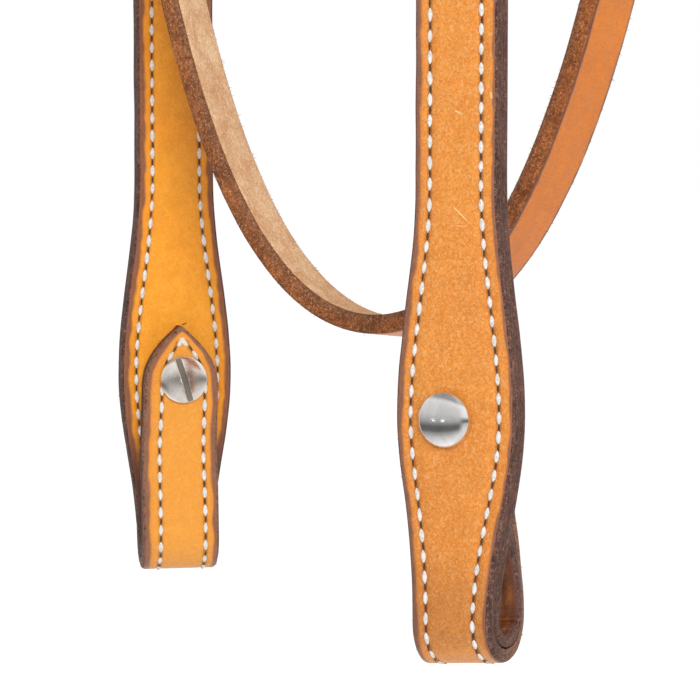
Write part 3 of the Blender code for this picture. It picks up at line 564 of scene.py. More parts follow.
def named(tree, name, kind):
    return node(tree, "GeometryNodeInputNamedAttribute", {"Name": name}, data_type=kind).outputs[0]


def modelling_tree(name, inputs, result):
    """A Geometry Nodes tree with inputs of a name, a kind and a value to start from."""
    tree = bpy.data.node_groups.new(name, "GeometryNodeTree")
    for label, kind, value in inputs:
        socket = tree.interface.new_socket(label, in_out="INPUT", socket_type="NodeSocket" + kind)
        if value is not None:
            socket.default_value = value
    tree.interface.new_socket(result, in_out="OUTPUT", socket_type="NodeSocketGeometry")
    return tree, node(tree, "NodeGroupInput").outputs


def copied(tree, points, shape, rotation, scale):
    """Real copies of a shape, one on each point."""
    copies = {"Points": points, "Instance": shape, "Rotation": rotation, "Scale": scale}
    copies = node(tree, "GeometryNodeInstanceOnPoints", copies).outputs[0]
    return node(tree, "GeometryNodeRealizeInstances", {0: copies}).outputs[0]


def dressed(tree, shape, finish):
    return node(tree, "GeometryNodeSetMaterial", {0: shape, "Material": finish}).outputs[0]


def stitch_tree(thread, hole):
    """Lock stitches along rows of points that face out of the leather: each is a plump spindle
    of thread with a flat dark dash after it, painted shade of its awl hole. Inputs: pitch, thread width, lean
    and seed."""
    inputs = [("Rows", "Geometry", None), ("Pitch", "Float", thread_pitch), ("Thread width", "Float", 0.0010)]
    inputs += [("Lean", "Float", 0.05), ("Seed", "Int", 7)]
    tree, given = modelling_tree("saddle_stitch", inputs, "Stitches")
    pitch, width, seed = given["Pitch"], given["Thread width"], given["Seed"]
    curve = node(tree, "GeometryNodeMeshToCurve", {0: given["Rows"]}).outputs[0]
    points = {"Curve": curve, "Length": pitch}
    points = node(tree, "GeometryNodeResampleCurve", points, mode="LENGTH").outputs[0]
    along = {"Vector": node(tree, "GeometryNodeInputTangent").outputs[0]}
    along = node(tree, "FunctionNodeAlignRotationToVector", along, axis="X").outputs[0]
    aim = {"Rotation": along, "Vector": named(tree, "facing", "FLOAT_VECTOR")}
    aim = node(tree, "FunctionNodeAlignRotationToVector", aim, axis="Z", pivot_axis="X").outputs[0]
    lean = vary(tree, seed, calc(tree, given["Lean"], "MULTIPLY", -1.0), given["Lean"])
    aim = turned(tree, aim, xyz(tree, 0.0, 0.0, lean))
    grown = vary(tree, seed, 0.92, 1.08)
    sewn = node(tree, "GeometryNodeJoinGeometry")
    for rings, long, wide, high, ahead, finish in (
        (7, 0.335, 0.53, 0.40, 0.0, thread),
        # The second copy is a flat dark dash: painted shade of the awl hole after each stitch.
        (4, 0.230, 0.21, 0.10, 0.5, hole),
    ):
        ball = node(tree, "GeometryNodeMeshUVSphere", {"Segments": 8, "Rings": rings, "Radius": 1.0})
        ball = {0: ball.outputs[0], "Rotation": (0.0, math.pi / 2, 0.0)}
        ball = node(tree, "GeometryNodeTransform", ball).outputs[0]
        at = {0: node(tree, "GeometryNodeInputPosition").outputs[0]}
        at = node(tree, "ShaderNodeSeparateXYZ", at).outputs
        taper = calc(tree, 1.0, "SUBTRACT", calc(tree, at[0], "MULTIPLY", at[0]))
        taper = calc(tree, calc(tree, taper, "MAXIMUM", 0.0), "POWER", 0.3)
        thin = xyz(tree, at[0], calc(tree, at[1], "MULTIPLY", taper), calc(tree, at[2], "MULTIPLY", taper))
        ball = node(tree, "GeometryNodeSetPosition", {0: ball, "Position": thin}).outputs[0]
        sizes = ((pitch, long), (width, wide), (width, high))
        sizes = [calc(tree, size, "MULTIPLY", k) for size, k in sizes]
        aside = xyz(tree, calc(tree, pitch, "MULTIPLY", ahead))
        ball = {0: ball, "Translation": aside, "Scale": xyz(tree, *sizes)}
        ball = node(tree, "GeometryNodeTransform", ball).outputs[0]
        copies = copied(tree, points, ball, aim, grown)
        copies = node(tree, "GeometryNodeSetShadeSmooth", {0: copies}).outputs[0]
        tree.links.new(dressed(tree, copies, finish), sewn.inputs[0])
    node(tree, "NodeGroupOutput", {0: sewn.outputs[0]})
    return tree


def fuzz_tree():
    """Loose fibres that stand off a strap's cut edges. Inputs: the strap, count to a square metre,
    fibre length, seed and finish. They grow where the strap's fuzz attribute is 1."""
    inputs = [("Strap", "Geometry", None), ("Density", "Float", 250000.0), ("Length", "Float", 0.0008)]
    inputs += [("Seed", "Int", 5), ("Finish", "Material", None)]
    tree, given = modelling_tree("cut_fuzz", inputs, "Fibres")
    seed = given["Seed"]
    hairy = calc(tree, named(tree, "fuzz", "FLOAT"), "MULTIPLY", given["Density"])
    spread = {"Mesh": given["Strap"], "Density": hairy, "Seed": seed}
    spread = node(tree, "GeometryNodeDistributePointsOnFaces", spread, distribute_method="RANDOM").outputs
    fibre = {"Vertices": 3, "Radius Top": 0.00001, "Radius Bottom": 0.00005, "Depth": given["Length"]}
    fibre = node(tree, "GeometryNodeMeshCone", fibre).outputs["Mesh"]
    bent = vary(tree, seed, (-0.9, -0.9, 0.0), (0.9, 0.9, 6.28), "FLOAT_VECTOR")
    aim, long = turned(tree, spread["Rotation"], bent), vary(tree, seed, 0.4, 1.3)
    fibres = copied(tree, spread["Points"], fibre, aim, long)
    node(tree, "NodeGroupOutput", {0: dressed(tree, fibres, given["Finish"])})
    return tree


def plain(name, colour, rough, scale, strength):
    """Thread, or a dark dash that is the painted shade of an awl hole: one colour with a little grain in its
    tone and its surface.
    """
    made, tree, place, _ = new_look(name)
    speck = spots(tree, place, scale, 3.0, 0.5, 0.6)
    tone = mix(tree, ramp(tree, speck, 0.35, 0.6), tinted(colour, 0.72), colour)
    rough = ramp(tree, speck, 0.3, 0.7, rough - 0.1, rough + 0.1)
    shade(tree, tone, rough, bumped(tree, (speck, strength, 0.0002)))
    return made


white_thread = plain("white_thread", (0.86, 0.83, 0.78), 0.7, 1400.0, 0.6)
# Painted shade: a dark brown for the dashes that stand for the shaded awl holes.
painted_hole_shade = plain("painted_hole_shade", (0.10, 0.045, 0.025), 0.8, 900.0, 0.4)
saddle_stitch = stitch_tree(white_thread, painted_hole_shade)
cut_fuzz = fuzz_tree()


def run_tree(name, owner, tree, given):
    """What a tree makes of an object, as a piece. Its inputs are given by name."""
    running = owner.modifiers.new(tree.name, "NODES")
    running.node_group = tree
    for socket in tree.interface.items_tree:
        if socket.in_out == "INPUT" and socket.name in given:
            running[socket.identifier] = given[socket.name]
    made = bpy.data.meshes.new_from_object(owner.evaluated_get(bpy.context.evaluated_depsgraph_get()))
    owner.modifiers.clear()
    made.name = name
    return placed(name, made)


def sew(name, rows, pitch=thread_pitch, seed=7):
    """Sews rows of (point, direction out of the leather) and returns the stitches as one piece."""
    verts, edges, facing = [], [], []
    for row in rows:
        edges += [(len(verts) + i, len(verts) + i + 1) for i in range(len(row) - 1)]
        verts += [point for point, out in row]
        facing += [part for point, out in row for part in out]
    mesh = bpy.data.meshes.new(name + "_rows")
    mesh.from_pydata(verts, edges, [])
    mesh.attributes.new("facing", "FLOAT_VECTOR", "POINT").data.foreach_set("vector", facing)
    guide = placed(name + "_rows", mesh)
    piece = run_tree(name, guide, saddle_stitch, {"Pitch": pitch, "Seed": seed})
    bpy.data.objects.remove(guide)
    return piece


def grow(name, strap, body, density, length, finish):
    """Grows loose fibres on a strap as a piece of its own, and leaves the strap as it was."""
    piece = run_tree(name, strap, cut_fuzz, {"Density": density, "Length": length, "Finish": finish})
    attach(piece, body)


def row_along(places, insets, side, halves, height):
    """Places of one row of stitches, a set way in from one edge of a strap and out of its path."""
    row = []
    for place, half, inset in zip(places, each(halves, len(places)), each(insets, len(places))):
        point, across, out = place
        at = point + across * (side * max(half - inset, 0.0)) + out * height
        row.append((at, out if height > 0.0 else -out))
    return row


def edge_rows(half, *runs):
    """Rows of stitches beside both edges of runs, each of its places and its height."""
    return [
        row_along(places, stitch_inset, side, half, rise) for side in both_edges for places, rise in runs
    ]


def settled(body, outer, lining, threads):
    """Puts a doubled strap's two layers and its stitches on their body."""
    for piece in (outer, lining, *threads):
        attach(piece, body)
    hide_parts(f"{body}_outer")
    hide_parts(f"{body}_lining")


def mirrored(places):
    """The same places on the headstall's other side."""
    return [tuple(Vector((-part.x, part.y, part.z)) for part in place) for place in places]


def crown_places(drop, round_length):
    """From the crown's left end over the bracket to its right, close together at a round end."""
    levels = [-drop + round_length * share for share in shares(end_round_steps)] if round_length else [-drop]
    levels += [blend(levels[-1], -rest_radius, share) for share in shares(hanging_steps)[1:-1]]
    back, out = Vector((0.0, 1.0, 0.0)), Vector((1.0, 0.0, 0.0))
    left = [(Vector((hang_x, 0.0, z)), back, out) for z in levels]
    over = []
    for share in shares(over_steps):
        out = Vector((math.cos(math.pi * share), 0.0, math.sin(math.pi * share)))
        over.append((Vector((0.0, 0.0, -rest_radius)) + out * hang_x, back, out))
    return left + over + mirrored(left)[::-1]


top_places = crown_places(crown_drop, end_round_length)
top_halves = [crown_width / 2] * len(top_places)
for step in range(end_round_steps):
    cut_away = end_round_length * (1.0 - math.sqrt(1.0 - (1.0 - step / end_round_steps) ** 2))
    top_halves[step] = top_halves[-1 - step] = crown_width / 2 - cut_away
under_places = crown_places(crown_drop - lining_short, 0.0)
crown_top = strap_piece(
    "crown_top_layer", top_places, top_halves, half_ply_gap, ply, russet, stitch_inset
)
crown_under = strap_piece(
    "crown_under_layer", under_places, crown_width / 2, -half_ply_gap, ply, linings, stitch_inset, flip=True
)
height = doubled_half - thread_sunk
straight = top_places[end_round_steps:-end_round_steps]
crown_rows = edge_rows(crown_width / 2, (straight, height), (under_places, -height))
settled("crown", crown_top, crown_under, [sew("crown_stitches", crown_rows)])

# Buckle billets: four straps cut to a point and punched, sewn between the crown's layers. A
# billet passes under its buckle's front bar, over the heel bar and on through two keepers.

billet_ply = 0.0026
billet_width = 0.0150
billet_tail = 0.060
billet_point_length = 0.010
billet_tip_share = 0.12
billet_soft = 0.0007
billet_back_soft = 0.0004
point_curve = 2.2
strap_step = 0.0015
tip_step = 0.0010
touch_gap = 0.0003
hole_pitch = 0.019
hole_radius = 0.0018
used_hole_length = 0.0095
punch_depth = 0.006
punch_sides = 28
wire_radius = 0.0018
tongue_radius = 0.0012
running_gap = 0.0003
frame_length = 0.0235
frame_side_gap = 0.00075
front_bar_out = 0.0049
tongue_knee_rise = 0.0050
tongue_heel_deg = -45.0
tongue_reach = wire_radius + running_gap + tongue_radius
fold_length = 0.012
cheek_forward = 0.0115
throat_back = 0.0115
cheek_bar_drop = 0.250
throat_bar_drop = 0.205
strap_width = 0.0163
throat_width = 0.0145
screw_z = -0.477
billet_twist_deg = {"left": -26.0, "right": -6.0}
strap_twist_deg = {"left": -32.0, "right": -9.0}
loop_twist_deg = -5.0
strap_twist_start = 0.078
strap_twist_length = 0.075
loop_twist_length = 0.020
cheek_lean = {"left": Vector((-0.0013, 0.0020, 0.0)), "right": Vector((0.0, -0.0009, 0.0))}
cheek_lean_length = 0.140
eye_radius = wire_radius + running_gap - half_ply_gap
signs = {"left": 1.0, "right": -1.0}
billet_hinge_z = {"cheek": -0.193, "throat": -0.170}
billet_bend = {"cheek": 0.020, "throat": 0.008}


class Hang:
    """The line that a cheek or an end of the throatlatch hangs down, turning about itself."""

    def __init__(self, side, kind):
        self.side, self.twisted = side, kind == "cheek"
        self.body = f"{side}_cheek" if self.twisted else "throatlatch"
        self.line_y = -cheek_forward if self.twisted else throat_back
        self.bar_z = -cheek_bar_drop if self.twisted else -throat_bar_drop
        self.half = (strap_width if self.twisted else throat_width) / 2
        self.front_z = self.bar_z + frame_length
        self.buckle_half = max(self.half, billet_width / 2)
        under = front_bar_out - wire_radius - running_gap - billet_ply / 2
        self.over_strap = half_ply_gap + ply + touch_gap + billet_ply / 2
        self.over_eye = self.over_strap + eye_radius
        self.keys = [(-crown_drop, -half_ply_gap - billet_ply / 2), (self.front_z, under)]
        self.keys += [(self.bar_z, self.over_eye), (self.bar_z - fold_length - billet_ply, self.over_strap)]
        heel = math.radians(tongue_heel_deg)
        self.leave = (tongue_reach * math.cos(heel), self.bar_z + tongue_reach * math.sin(heel))
        knee_out = self.over_eye + billet_ply / 2 + running_gap + tongue_radius
        self.knee = (knee_out, self.bar_z + tongue_knee_rise)
        share = (self.over_eye - self.leave[0]) / (knee_out - self.leave[0])
        self.crossing_z = blend(self.leave[1], self.knee[1], share)

    def twist(self, z):
        if not self.twisted:
            return 0.0
        billet_length = cheek_bar_drop - crown_drop - frame_length
        turn = billet_twist_deg[self.side] * ease((-crown_drop - z) / billet_length)
        turn += strap_twist_deg[self.side] * ease((self.bar_z - z - strap_twist_start) / strap_twist_length)
        return math.radians(turn + loop_twist_deg * ease((screw_z - z) / loop_twist_length))

    def out(self, z):
        turn, sign = self.twist(z), signs[self.side]
        return Vector((sign * math.cos(turn), sign * math.sin(turn), 0.0))

    def across(self, z):
        turn = self.twist(z)
        return Vector((-math.sin(turn), math.cos(turn), 0.0))

    def point(self, out, z):
        hung = Vector((signs[self.side] * hang_x, self.line_y, z))
        if self.twisted:
            hung += cheek_lean[self.side] * ease((self.bar_z - z) / cheek_lean_length)
        return hung + self.out(z) * out

    def places(self, path):
        """Places along a path of (out, z) points, each facing square to the path."""
        found = []
        for i, (out, z) in enumerate(path):
            before, after = path[max(i - 1, 0)], path[min(i + 1, len(path) - 1)]
            run, rise = after[0] - before[0], after[1] - before[1]
            length = math.hypot(run, rise)
            facing = self.out(z) * (-rise / length) + up * (run / length)
            found.append((self.point(out, z), self.across(z), facing))
        return found

    def billet_out(self, z):
        """How far out the billet's middle lies: a smooth curve through its keys."""
        keys = self.keys
        if z >= keys[0][0] or z <= keys[-1][0]:
            return keys[0 if z >= keys[0][0] else -1][1]
        i = next(i for i in range(len(keys) - 1) if z >= keys[i + 1][0])
        (top, first), (bottom, last) = keys[i], keys[i + 1]
        slopes = []
        for j in (i, i + 1):
            inner = 0 < j < len(keys) - 1
            before, after = keys[j - 1], keys[(j + 1) % len(keys)]
            slopes.append((after[1] - before[1]) / (after[0] - before[0]) if inner else 0.0)
        span = bottom - top
        t = (z - top) / span
        rise = t * (1.0 - t) ** 2 * span * slopes[0] - t * t * (1.0 - t) * span * slopes[1]
        return blend(first, last, ease(t)) + rise


def heights(start, end, step):
    return [blend(start, end, share) for share in shares(max(1, round(abs(end - start) / step)))]


def pointed(half, along, tip_share):
    """Half a strap's width where it is along, from 0 to 1, into its point."""
    return half * max(1.0 - max(along, 0.0) ** point_curve, tip_share)


def punched(piece, cutters):
    """Cuts the holes in a strap and drops the cutters."""
    for cutter in cutters:
        biting = piece.modifiers.new(cutter.name, "BOOLEAN")
        biting.operation, biting.solver, biting.object = "DIFFERENCE", "EXACT", cutter
        biting.material_mode = "TRANSFER"
    whole = bpy.data.meshes.new_from_object(piece.evaluated_get(bpy.context.evaluated_depsgraph_get()))
    piece.modifiers.clear()
    piece.data = whole
    for cutter in cutters:
        bpy.data.objects.remove(cutter)


def ring_of(shape, centre, right, rise, radius, sides, stretch=0.0):
    """New points of a shape on a circle, or with stretch on a slot's round-ended outline."""
    ring = []
    for i in range(sides):
        turn = math.tau * i / sides
        tall = radius * math.sin(turn) + math.copysign(stretch, math.sin(turn))
        ring.append(shape.verts.new(centre + right * radius * math.cos(turn) + rise * tall))
    return ring


def wrapped(shape, rings, capped=True):
    """Joins each ring to the next with faces, and closes the first and last."""
    for first, second in zip(rings, rings[1:]):
        for i in range(len(first)):
            shape.faces.new((first[i - 1], first[i], second[i], second[i - 1]))
    for end in (rings[0], rings[-1][::-1]) if capped else ():
        shape.faces.new(end)


def hole_cutter(name, hang, z, centre, radius, stretch, depth):
    """A round or round-ended punch, which lies as its strap does at the height z."""
    shape = bmesh.new()
    ends = [centre + hang.out(z) * reach for reach in (-depth, depth)]
    across = hang.across(z)
    wrapped(shape, [ring_of(shape, end, across, up, radius, punch_sides, stretch) for end in ends])
    return finished(name, shape, [dyed_edge])


def box_cutter(name, centre, sides, finish):
    """A box whose three sides are given as vectors."""
    shape = bmesh.new()
    bmesh.ops.create_cube(shape, size=1.0)
    for vert in shape.verts:
        vert.co = centre + sum((side * part for side, part in zip(sides, vert.co)), Vector())
    shape.normal_update()
    return finished(name, shape, [finish])


hangs = {(side, kind): Hang(side, kind) for side in signs for kind in ("cheek", "throat")}
for (side, kind), hang in hangs.items():
    tip_z = hang.bar_z - billet_tail
    point_z = tip_z + billet_point_length
    levels = heights(-crown_drop + lining_short - touch_gap, point_z, strap_step)
    levels += heights(point_z, tip_z, tip_step)[1:]
    places = hang.places([(hang.billet_out(z), z) for z in levels])
    along = [(point_z - z) / billet_point_length for z in levels]
    billet = strap_piece(
        f"{side}_{kind}_billet_strap", places,
        [pointed(billet_width / 2, share, billet_tip_share) for share in along],
        -billet_ply / 2, billet_ply, russet, soft=billet_soft, back_soft=billet_back_soft,
    )
    punches = []
    for i, stretch in ((0, used_hole_length / 2 - hole_radius), (-2, 0), (-1, 0), (1, 0), (2, 0)):
        z = hang.crossing_z + i * hole_pitch
        centre = hang.point(hang.billet_out(z), z)
        punches.append(hole_cutter(f"punch_{i + 2}", hang, z, centre, hole_radius, stretch, punch_depth))
    punched(billet, punches)
    hinge = hang.point(0.0, billet_hinge_z[kind])
    rise = up * billet_bend[kind]
    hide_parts(f"{side}_{kind}_billet")
    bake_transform(billet, "crown", hang.body, start=tuple(hinge + rise), end=tuple(hinge - rise))

# Browband: a doubled band across the forehead, sewn along both edges. Its outer layer turns
# back at each end round the crown's layers as a loop, and slides on them.

browband_width = 0.0190
browband_drop = 0.105
crown_play = 0.0005
loop_converge = 0.013
loop_sewn = 0.020
loop_sewn_steps = 8
loop_side_steps = 12
loop_back_steps = 18
browband_reach = 0.125
browband_bow = 0.007
browband_bow_share = 0.6
browband_steps = 60
browband_flat = 0.036
browband_tilt_deg = 24.0
browband_tilt_length = 0.060
browband_loop_half = doubled_half + crown_play - half_ply_gap

edge_y = crown_width / 2
converge_y = -edge_y - loop_converge
sewn_y = converge_y - loop_sewn
plan = [(0.0, blend(sewn_y, converge_y, share)) for share in shares(loop_sewn_steps)[:-1]]
side_shares = shares(loop_side_steps)
half_loop = [(browband_loop_half * ease(share), blend(converge_y, -edge_y, share)) for share in side_shares]
half_loop += [(browband_loop_half, blend(-edge_y, edge_y, share)) for share in side_shares[1:]]
plan += [(-out, y) for out, y in half_loop[:-1]]
plan += arc(0.0, edge_y, browband_loop_half, 180.0, 0.0, loop_back_steps)
plan += half_loop[-2::-1] + plan[loop_sewn_steps - 1 :: -1]
before_lining = len(plan)
pulls = [Vector((0.0, sewn_y)), Vector((browband_bow, sewn_y - browband_bow_share * browband_reach))]
pulls += [Vector((out - hang_x, sewn_y - browband_reach)) for out in (browband_flat, 0.0)]
for share in shares(browband_steps)[1:]:
    rest = 1.0 - share
    weights = (rest**3, 3 * rest * rest * share, 3 * rest * share * share, share**3)
    plan.append(tuple(sum((pull * weight for pull, weight in zip(pulls, weights)), Vector((0.0, 0.0)))))
half_band, z = [], -browband_drop
for i, (out, y) in enumerate(plan):
    before, after = plan[max(i - 1, 0)], plan[min(i + 1, len(plan) - 1)]
    tilt = math.radians(browband_tilt_deg) * ease((converge_y - y) / browband_tilt_length)
    if i >= before_lining:
        z -= math.tan(tilt) * (plan[i - 1][1] - y)
    across = Vector((0.0, -math.sin(tilt), math.cos(tilt)))
    facing = Vector((before[1] - after[1], after[0] - before[0], 0.0))
    if i == len(plan) - 1:
        facing = Vector((0.0, -1.0, 0.0))
    facing = (facing - across * facing.dot(across)).normalized()
    half_band.append((Vector((hang_x + out, y, z)), across, facing))


def both_halves(places):
    return places + mirrored(places[:-1])[::-1]


start, across, facing = half_band[before_lining - 1]
back_start = (start - Vector((0.0, touch_gap, 0.0)), across, facing)
back_places = both_halves([back_start] + half_band[before_lining:])
half = browband_width / 2
band = strap_piece(
    "browband_outer_layer", both_halves(half_band), half, half_ply_gap, ply, russet, stitch_inset
)
band_back = strap_piece(
    "browband_back_layer", back_places, half, -half_ply_gap, ply, linings, stitch_inset, flip=True
)
sewn_start = before_lining - loop_sewn_steps
band_rows = edge_rows(half, (both_halves(half_band[sewn_start:]), height), (back_places, -height))
for sewn in (half_band[:loop_sewn_steps], half_band[sewn_start:before_lining]):
    band_rows += edge_rows(half, (sewn, height)) + edge_rows(half, (mirrored(sewn), height))
settled("browband", band, band_back, [sew("browband_stitches", band_rows, seed=11)])

# Cheeks: two long straps of doubled leather, cemented, sewn down both edges, dyed and burnished
# there. Each is folded round its buckle's bar at the top. At the bottom it swells, folds up
# behind itself round the bit, and ends in a pointed tab that a screw holds to the front.

spread_width = 0.0238
spread_above = 0.042
spread_below = 0.036
loop_width = 0.0160
loop_drop = {"left": 0.0452, "right": 0.0413}
loop_inner_gap = 0.0056
loop_front_bulge = 0.0014
loop_clamp_length = 0.010
loop_radius = loop_inner_gap / 2 + doubled_half
loop_steps = 28
loop_rise_steps = 20
fold_steps = 8
eye_steps = 20
tab_width = 0.0157
tab_rise = 0.0107
tab_point_length = 0.0130
tab_tip_share = 0.03
tab_tip_step = 0.0008
tab_out = -2 * doubled_half - touch_gap
cheek_tail = 0.034
tail_step = 0.002
tongue_slot_width = 0.0046
tongue_slot_above = 0.0090
tongue_slot_below = 0.0056
cheek_pitch = {("left", -1.0): 0.00372, ("left", 1.0): 0.00342}
far_pitch = 0.0037
cheek_inset = 0.0031
screw_aside = {"left": -0.0016, "right": 0.0002}
screw_lower = {"left": 0.0, "right": 0.0005}
tab_inset = {-1.0: 0.0036, 1.0: 0.0029}
tip_inset = 0.0034
loop_askew = {"left": 0.09, "right": 0.0}
loop_askew_length = 0.012
loop_turn_deg = {"left": 20.0, "right": 0.0}
loop_turn_length = 0.024
loop_aside = {"left": 0.0015, "right": 0.0}
loop_aside_length = 0.008
post_hole_radius = 0.0028
bore_depth = 0.012
cheek_burn = (1.25, 0.75)
tab_burn = 1.15
tab_look_steps = 16
fold_wear_above = 0.016
lining_wear_above = 0.025
wear_length = 0.014
outer_wear = 0.3
pucker_above = 0.010
pucker_length = 0.008
pucker_height = 0.0012
wrinkle_turn = 1.1
wrinkle_steps = (14, 31)
wrinkle_fades = (4, 3)
wrinkle_height = 0.0009
# How much the lining's wear is lessened on wrinkle ridges: a painted highlight on them.
wrinkle_ridge_highlight = 0.3
lining_burn = (1.3, 1.3)
fuzz_above = 0.01
fuzz_fade = 0.02
loop_fuzz_density = 150000.0
loop_fuzz_length = 0.0005
outer_row_start = 4
lining_row_start = 3
lining_row_stop = 2


def eye_path(hang, tail):
    """Up the back of a strap's end, over the buckle's bar and down to where the two runs meet."""
    bar_z = hang.bar_z
    path = [(0.0, z) for z in heights(bar_z - tail, bar_z - fold_length, tail_step)[:-1]]
    fold = shares(fold_steps)
    fold = [(eye_radius * ease(share), bar_z - fold_length * (1.0 - share)) for share in fold]
    path += [(-out, z) for out, z in fold[:-1]] + arc(0.0, bar_z, eye_radius, 180.0, 0.0, eye_steps)
    return path + fold[-2::-1]


def cheek_half(z):
    if z > screw_z:
        return blend(spread_width, strap_width, ease((z - screw_z) / spread_above)) / 2
    return blend(spread_width, loop_width, ease((screw_z - z) / spread_below)) / 2


def cheek_path(side, start_z):
    """Down the front from start_z, round the bit loop and up the tab, with the half widths and
    the step where the loop starts."""
    low_z = screw_z - loop_drop[side] + loop_radius + doubled_half
    clamp_z = screw_z - loop_clamp_length
    back_out = loop_front_bulge - 2 * loop_radius
    point_z = screw_z + tab_rise - tab_point_length
    run = [(0.0, z) for z in heights(start_z, clamp_z, strap_step)]
    bulging = shares(round((clamp_z - low_z) / strap_step))[1:-1]
    run += [(loop_front_bulge * ease(share), blend(clamp_z, low_z, share)) for share in bulging]
    halves = [cheek_half(z) for out, z in run] + [loop_width / 2] * (loop_steps + 1)
    run += arc(loop_front_bulge - loop_radius, low_z, loop_radius, 0.0, -180.0, loop_steps)
    rise = shares(loop_rise_steps)[1:]
    rise = [(blend(back_out, tab_out, ease(share)), blend(low_z, clamp_z, share)) for share in rise]
    rise += [(tab_out, z) for z in heights(clamp_z, point_z, strap_step)[1:]]
    rise += [(tab_out, z) for z in heights(point_z, screw_z + tab_rise, tab_tip_step)[1:]]
    for out, z in rise:
        tab = blend(tab_width, loop_width, ease((screw_z - z) / spread_below)) / 2
        halves.append(pointed(tab, (z - point_z) / tab_point_length, tab_tip_share))
    return run + rise, halves, next(i for i, (out, z) in enumerate(run) if z < low_z)


def screw_shift(hang):
    return hang.across(screw_z) * screw_aside[hang.side] - up * screw_lower[hang.side]


def askew(places, side, bend):
    """Tips and turns the bottom and back of a bit loop, whose fold was made a little off square."""
    low_z = screw_z - loop_drop[side] + loop_radius
    made = []
    for i, (point, across, out) in enumerate(places):
        tip = loop_askew[side] * ease((low_z + loop_askew_length - point.z) / loop_askew_length)
        below, back = screw_z - loop_clamp_length - point.z, ease((i - bend) / loop_steps)
        turn = Quaternion(up, math.radians(loop_turn_deg[side]) * back * ease(below / loop_turn_length))
        aside = across * loop_aside[side] * back * ease(below / loop_aside_length)
        made.append((point - aside, turn @ (across + up * tip), turn @ out))
    return made


def tongue_slot_cutter(hang, name):
    z, tall = hang.bar_z, tongue_slot_above + tongue_slot_below
    centre = hang.point(0.0, z + tongue_slot_above - tall / 2)
    sides = (hang.across(z) * tongue_slot_width, hang.out(z) * strap_width, up * tall)
    return box_cutter(name, centre, sides, dyed_edge)


for side in signs:
    hang = hangs[side, "cheek"]
    body = hang.body
    fold = eye_path(hang, cheek_tail)
    run, halves, turn_index = cheek_path(side, hang.bar_z - fold_length)
    outer_halves = [hang.half] * len(fold) + halves[1:]
    low_z = screw_z - loop_drop[side] + loop_radius + doubled_half
    bend = len(fold) + turn_index
    outer_places = askew(hang.places(fold + run[1:]), side, bend)
    levels = [place[0].z for place in outer_places]
    tabbed = [ease((i - bend) / tab_look_steps) for i in range(len(outer_places))]
    tipped = [ease((z - screw_z) / tab_rise) if part else 0.0 for z, part in zip(levels, tabbed)]
    insets = {
        edge: [
            blend(blend(cheek_inset, tab_inset[edge], part), tip_inset, tip)
            for part, tip in zip(tabbed, tipped)
        ]
        for edge in both_edges
    }
    low_wear = [outer_wear * ease((low_z + fold_wear_above - z) / wear_length) for z in levels]
    outer = strap_piece(
        f"{side}_cheek_outer_layer", outer_places, outer_halves, half_ply_gap, ply, russet,
        (insets[-1.0], insets[1.0]),
        burn=[[blend(wide, tab_burn, part) for part in tabbed] for wide in cheek_burn],
        # worn is the wear near the loop's bottom, and below zero on the back of the loop and the tab: painted
        # light that leather() turns into a lighter tone.
        worn=[low * (1.0 - part) - part for low, part in zip(low_wear, tabbed)],
        fuzz=[ease((screw_z + fuzz_above - z) / fuzz_fade) for z in levels],
    )
    run, halves, turn_index = cheek_path(side, hang.bar_z - cheek_tail - touch_gap)
    inner_places = askew(hang.places(run), side, turn_index)
    (first, last), (fade_in, fade_out) = wrinkle_steps, wrinkle_fades
    wrinkles = [
        max(math.sin(wrinkle_turn * i), 0.0) * ease((i - first) / fade_in) * ease((last - i) / fade_out)
        for i in range(-turn_index, len(run) - turn_index)
    ]
    inner = strap_piece(
        f"{side}_cheek_inner_layer", inner_places, halves, -half_ply_gap,
        [ply + wrinkle_height * wrinkle for wrinkle in wrinkles], linings, cheek_inset,
        flip=True, burn=lining_burn,
        # The lining's wear darkens the inside bottom of the loop, and is lessened on the wrinkle ridges as a
        # painted highlight.
        worn=[
            ease((low_z + lining_wear_above - z) / wear_length) * (1.0 - wrinkle_ridge_highlight * wrinkle)
            for (out, z), wrinkle in zip(run, wrinkles)
        ],
        pucker=[pucker_height * ease((low_z + pucker_above - z) / pucker_length) for out, z in run],
    )
    middle = hang.point(tab_out / 2, screw_z) + screw_shift(hang)
    bores = [
        hole_cutter(f"{side}_bore_{i}", hang, screw_z, middle, post_hole_radius, 0.0, bore_depth)
        for i in range(2)
    ]
    punched(outer, [tongue_slot_cutter(hang, side + "_tongue_slot"), bores[0]])
    punched(inner, [bores[1]])
    grow(side + "_loop_fuzz", outer, body, loop_fuzz_density, loop_fuzz_length, dyed_edge)
    end = len(outer_halves) - 1
    end = next(i for i in range(bend, end + 1) if outer_halves[i] < tip_inset or i == end)
    shown = slice(len(fold) + outer_row_start, end)
    hidden = slice(lining_row_start, turn_index - lining_row_stop)
    threads = []
    for edge in both_edges:
        outside = row_along(outer_places[shown], insets[edge][shown], edge, outer_halves[shown], height)
        inside = row_along(inner_places[hidden], cheek_inset, edge, halves[hidden], -height)
        pitch, label = cheek_pitch.get((side, edge), far_pitch), "front" if edge < 0.0 else "back"
        threads.append(sew(f"{side}_cheek_{label}_stitches", [outside, inside], pitch, seed=21))
    settled(body, outer, inner, threads)

# Throatlatch: one long strap of single leather, split to an even thickness and pared thin at its
# ends, which fold round the two throat buckles. Its flesh side and cut edges are left fuzzy.

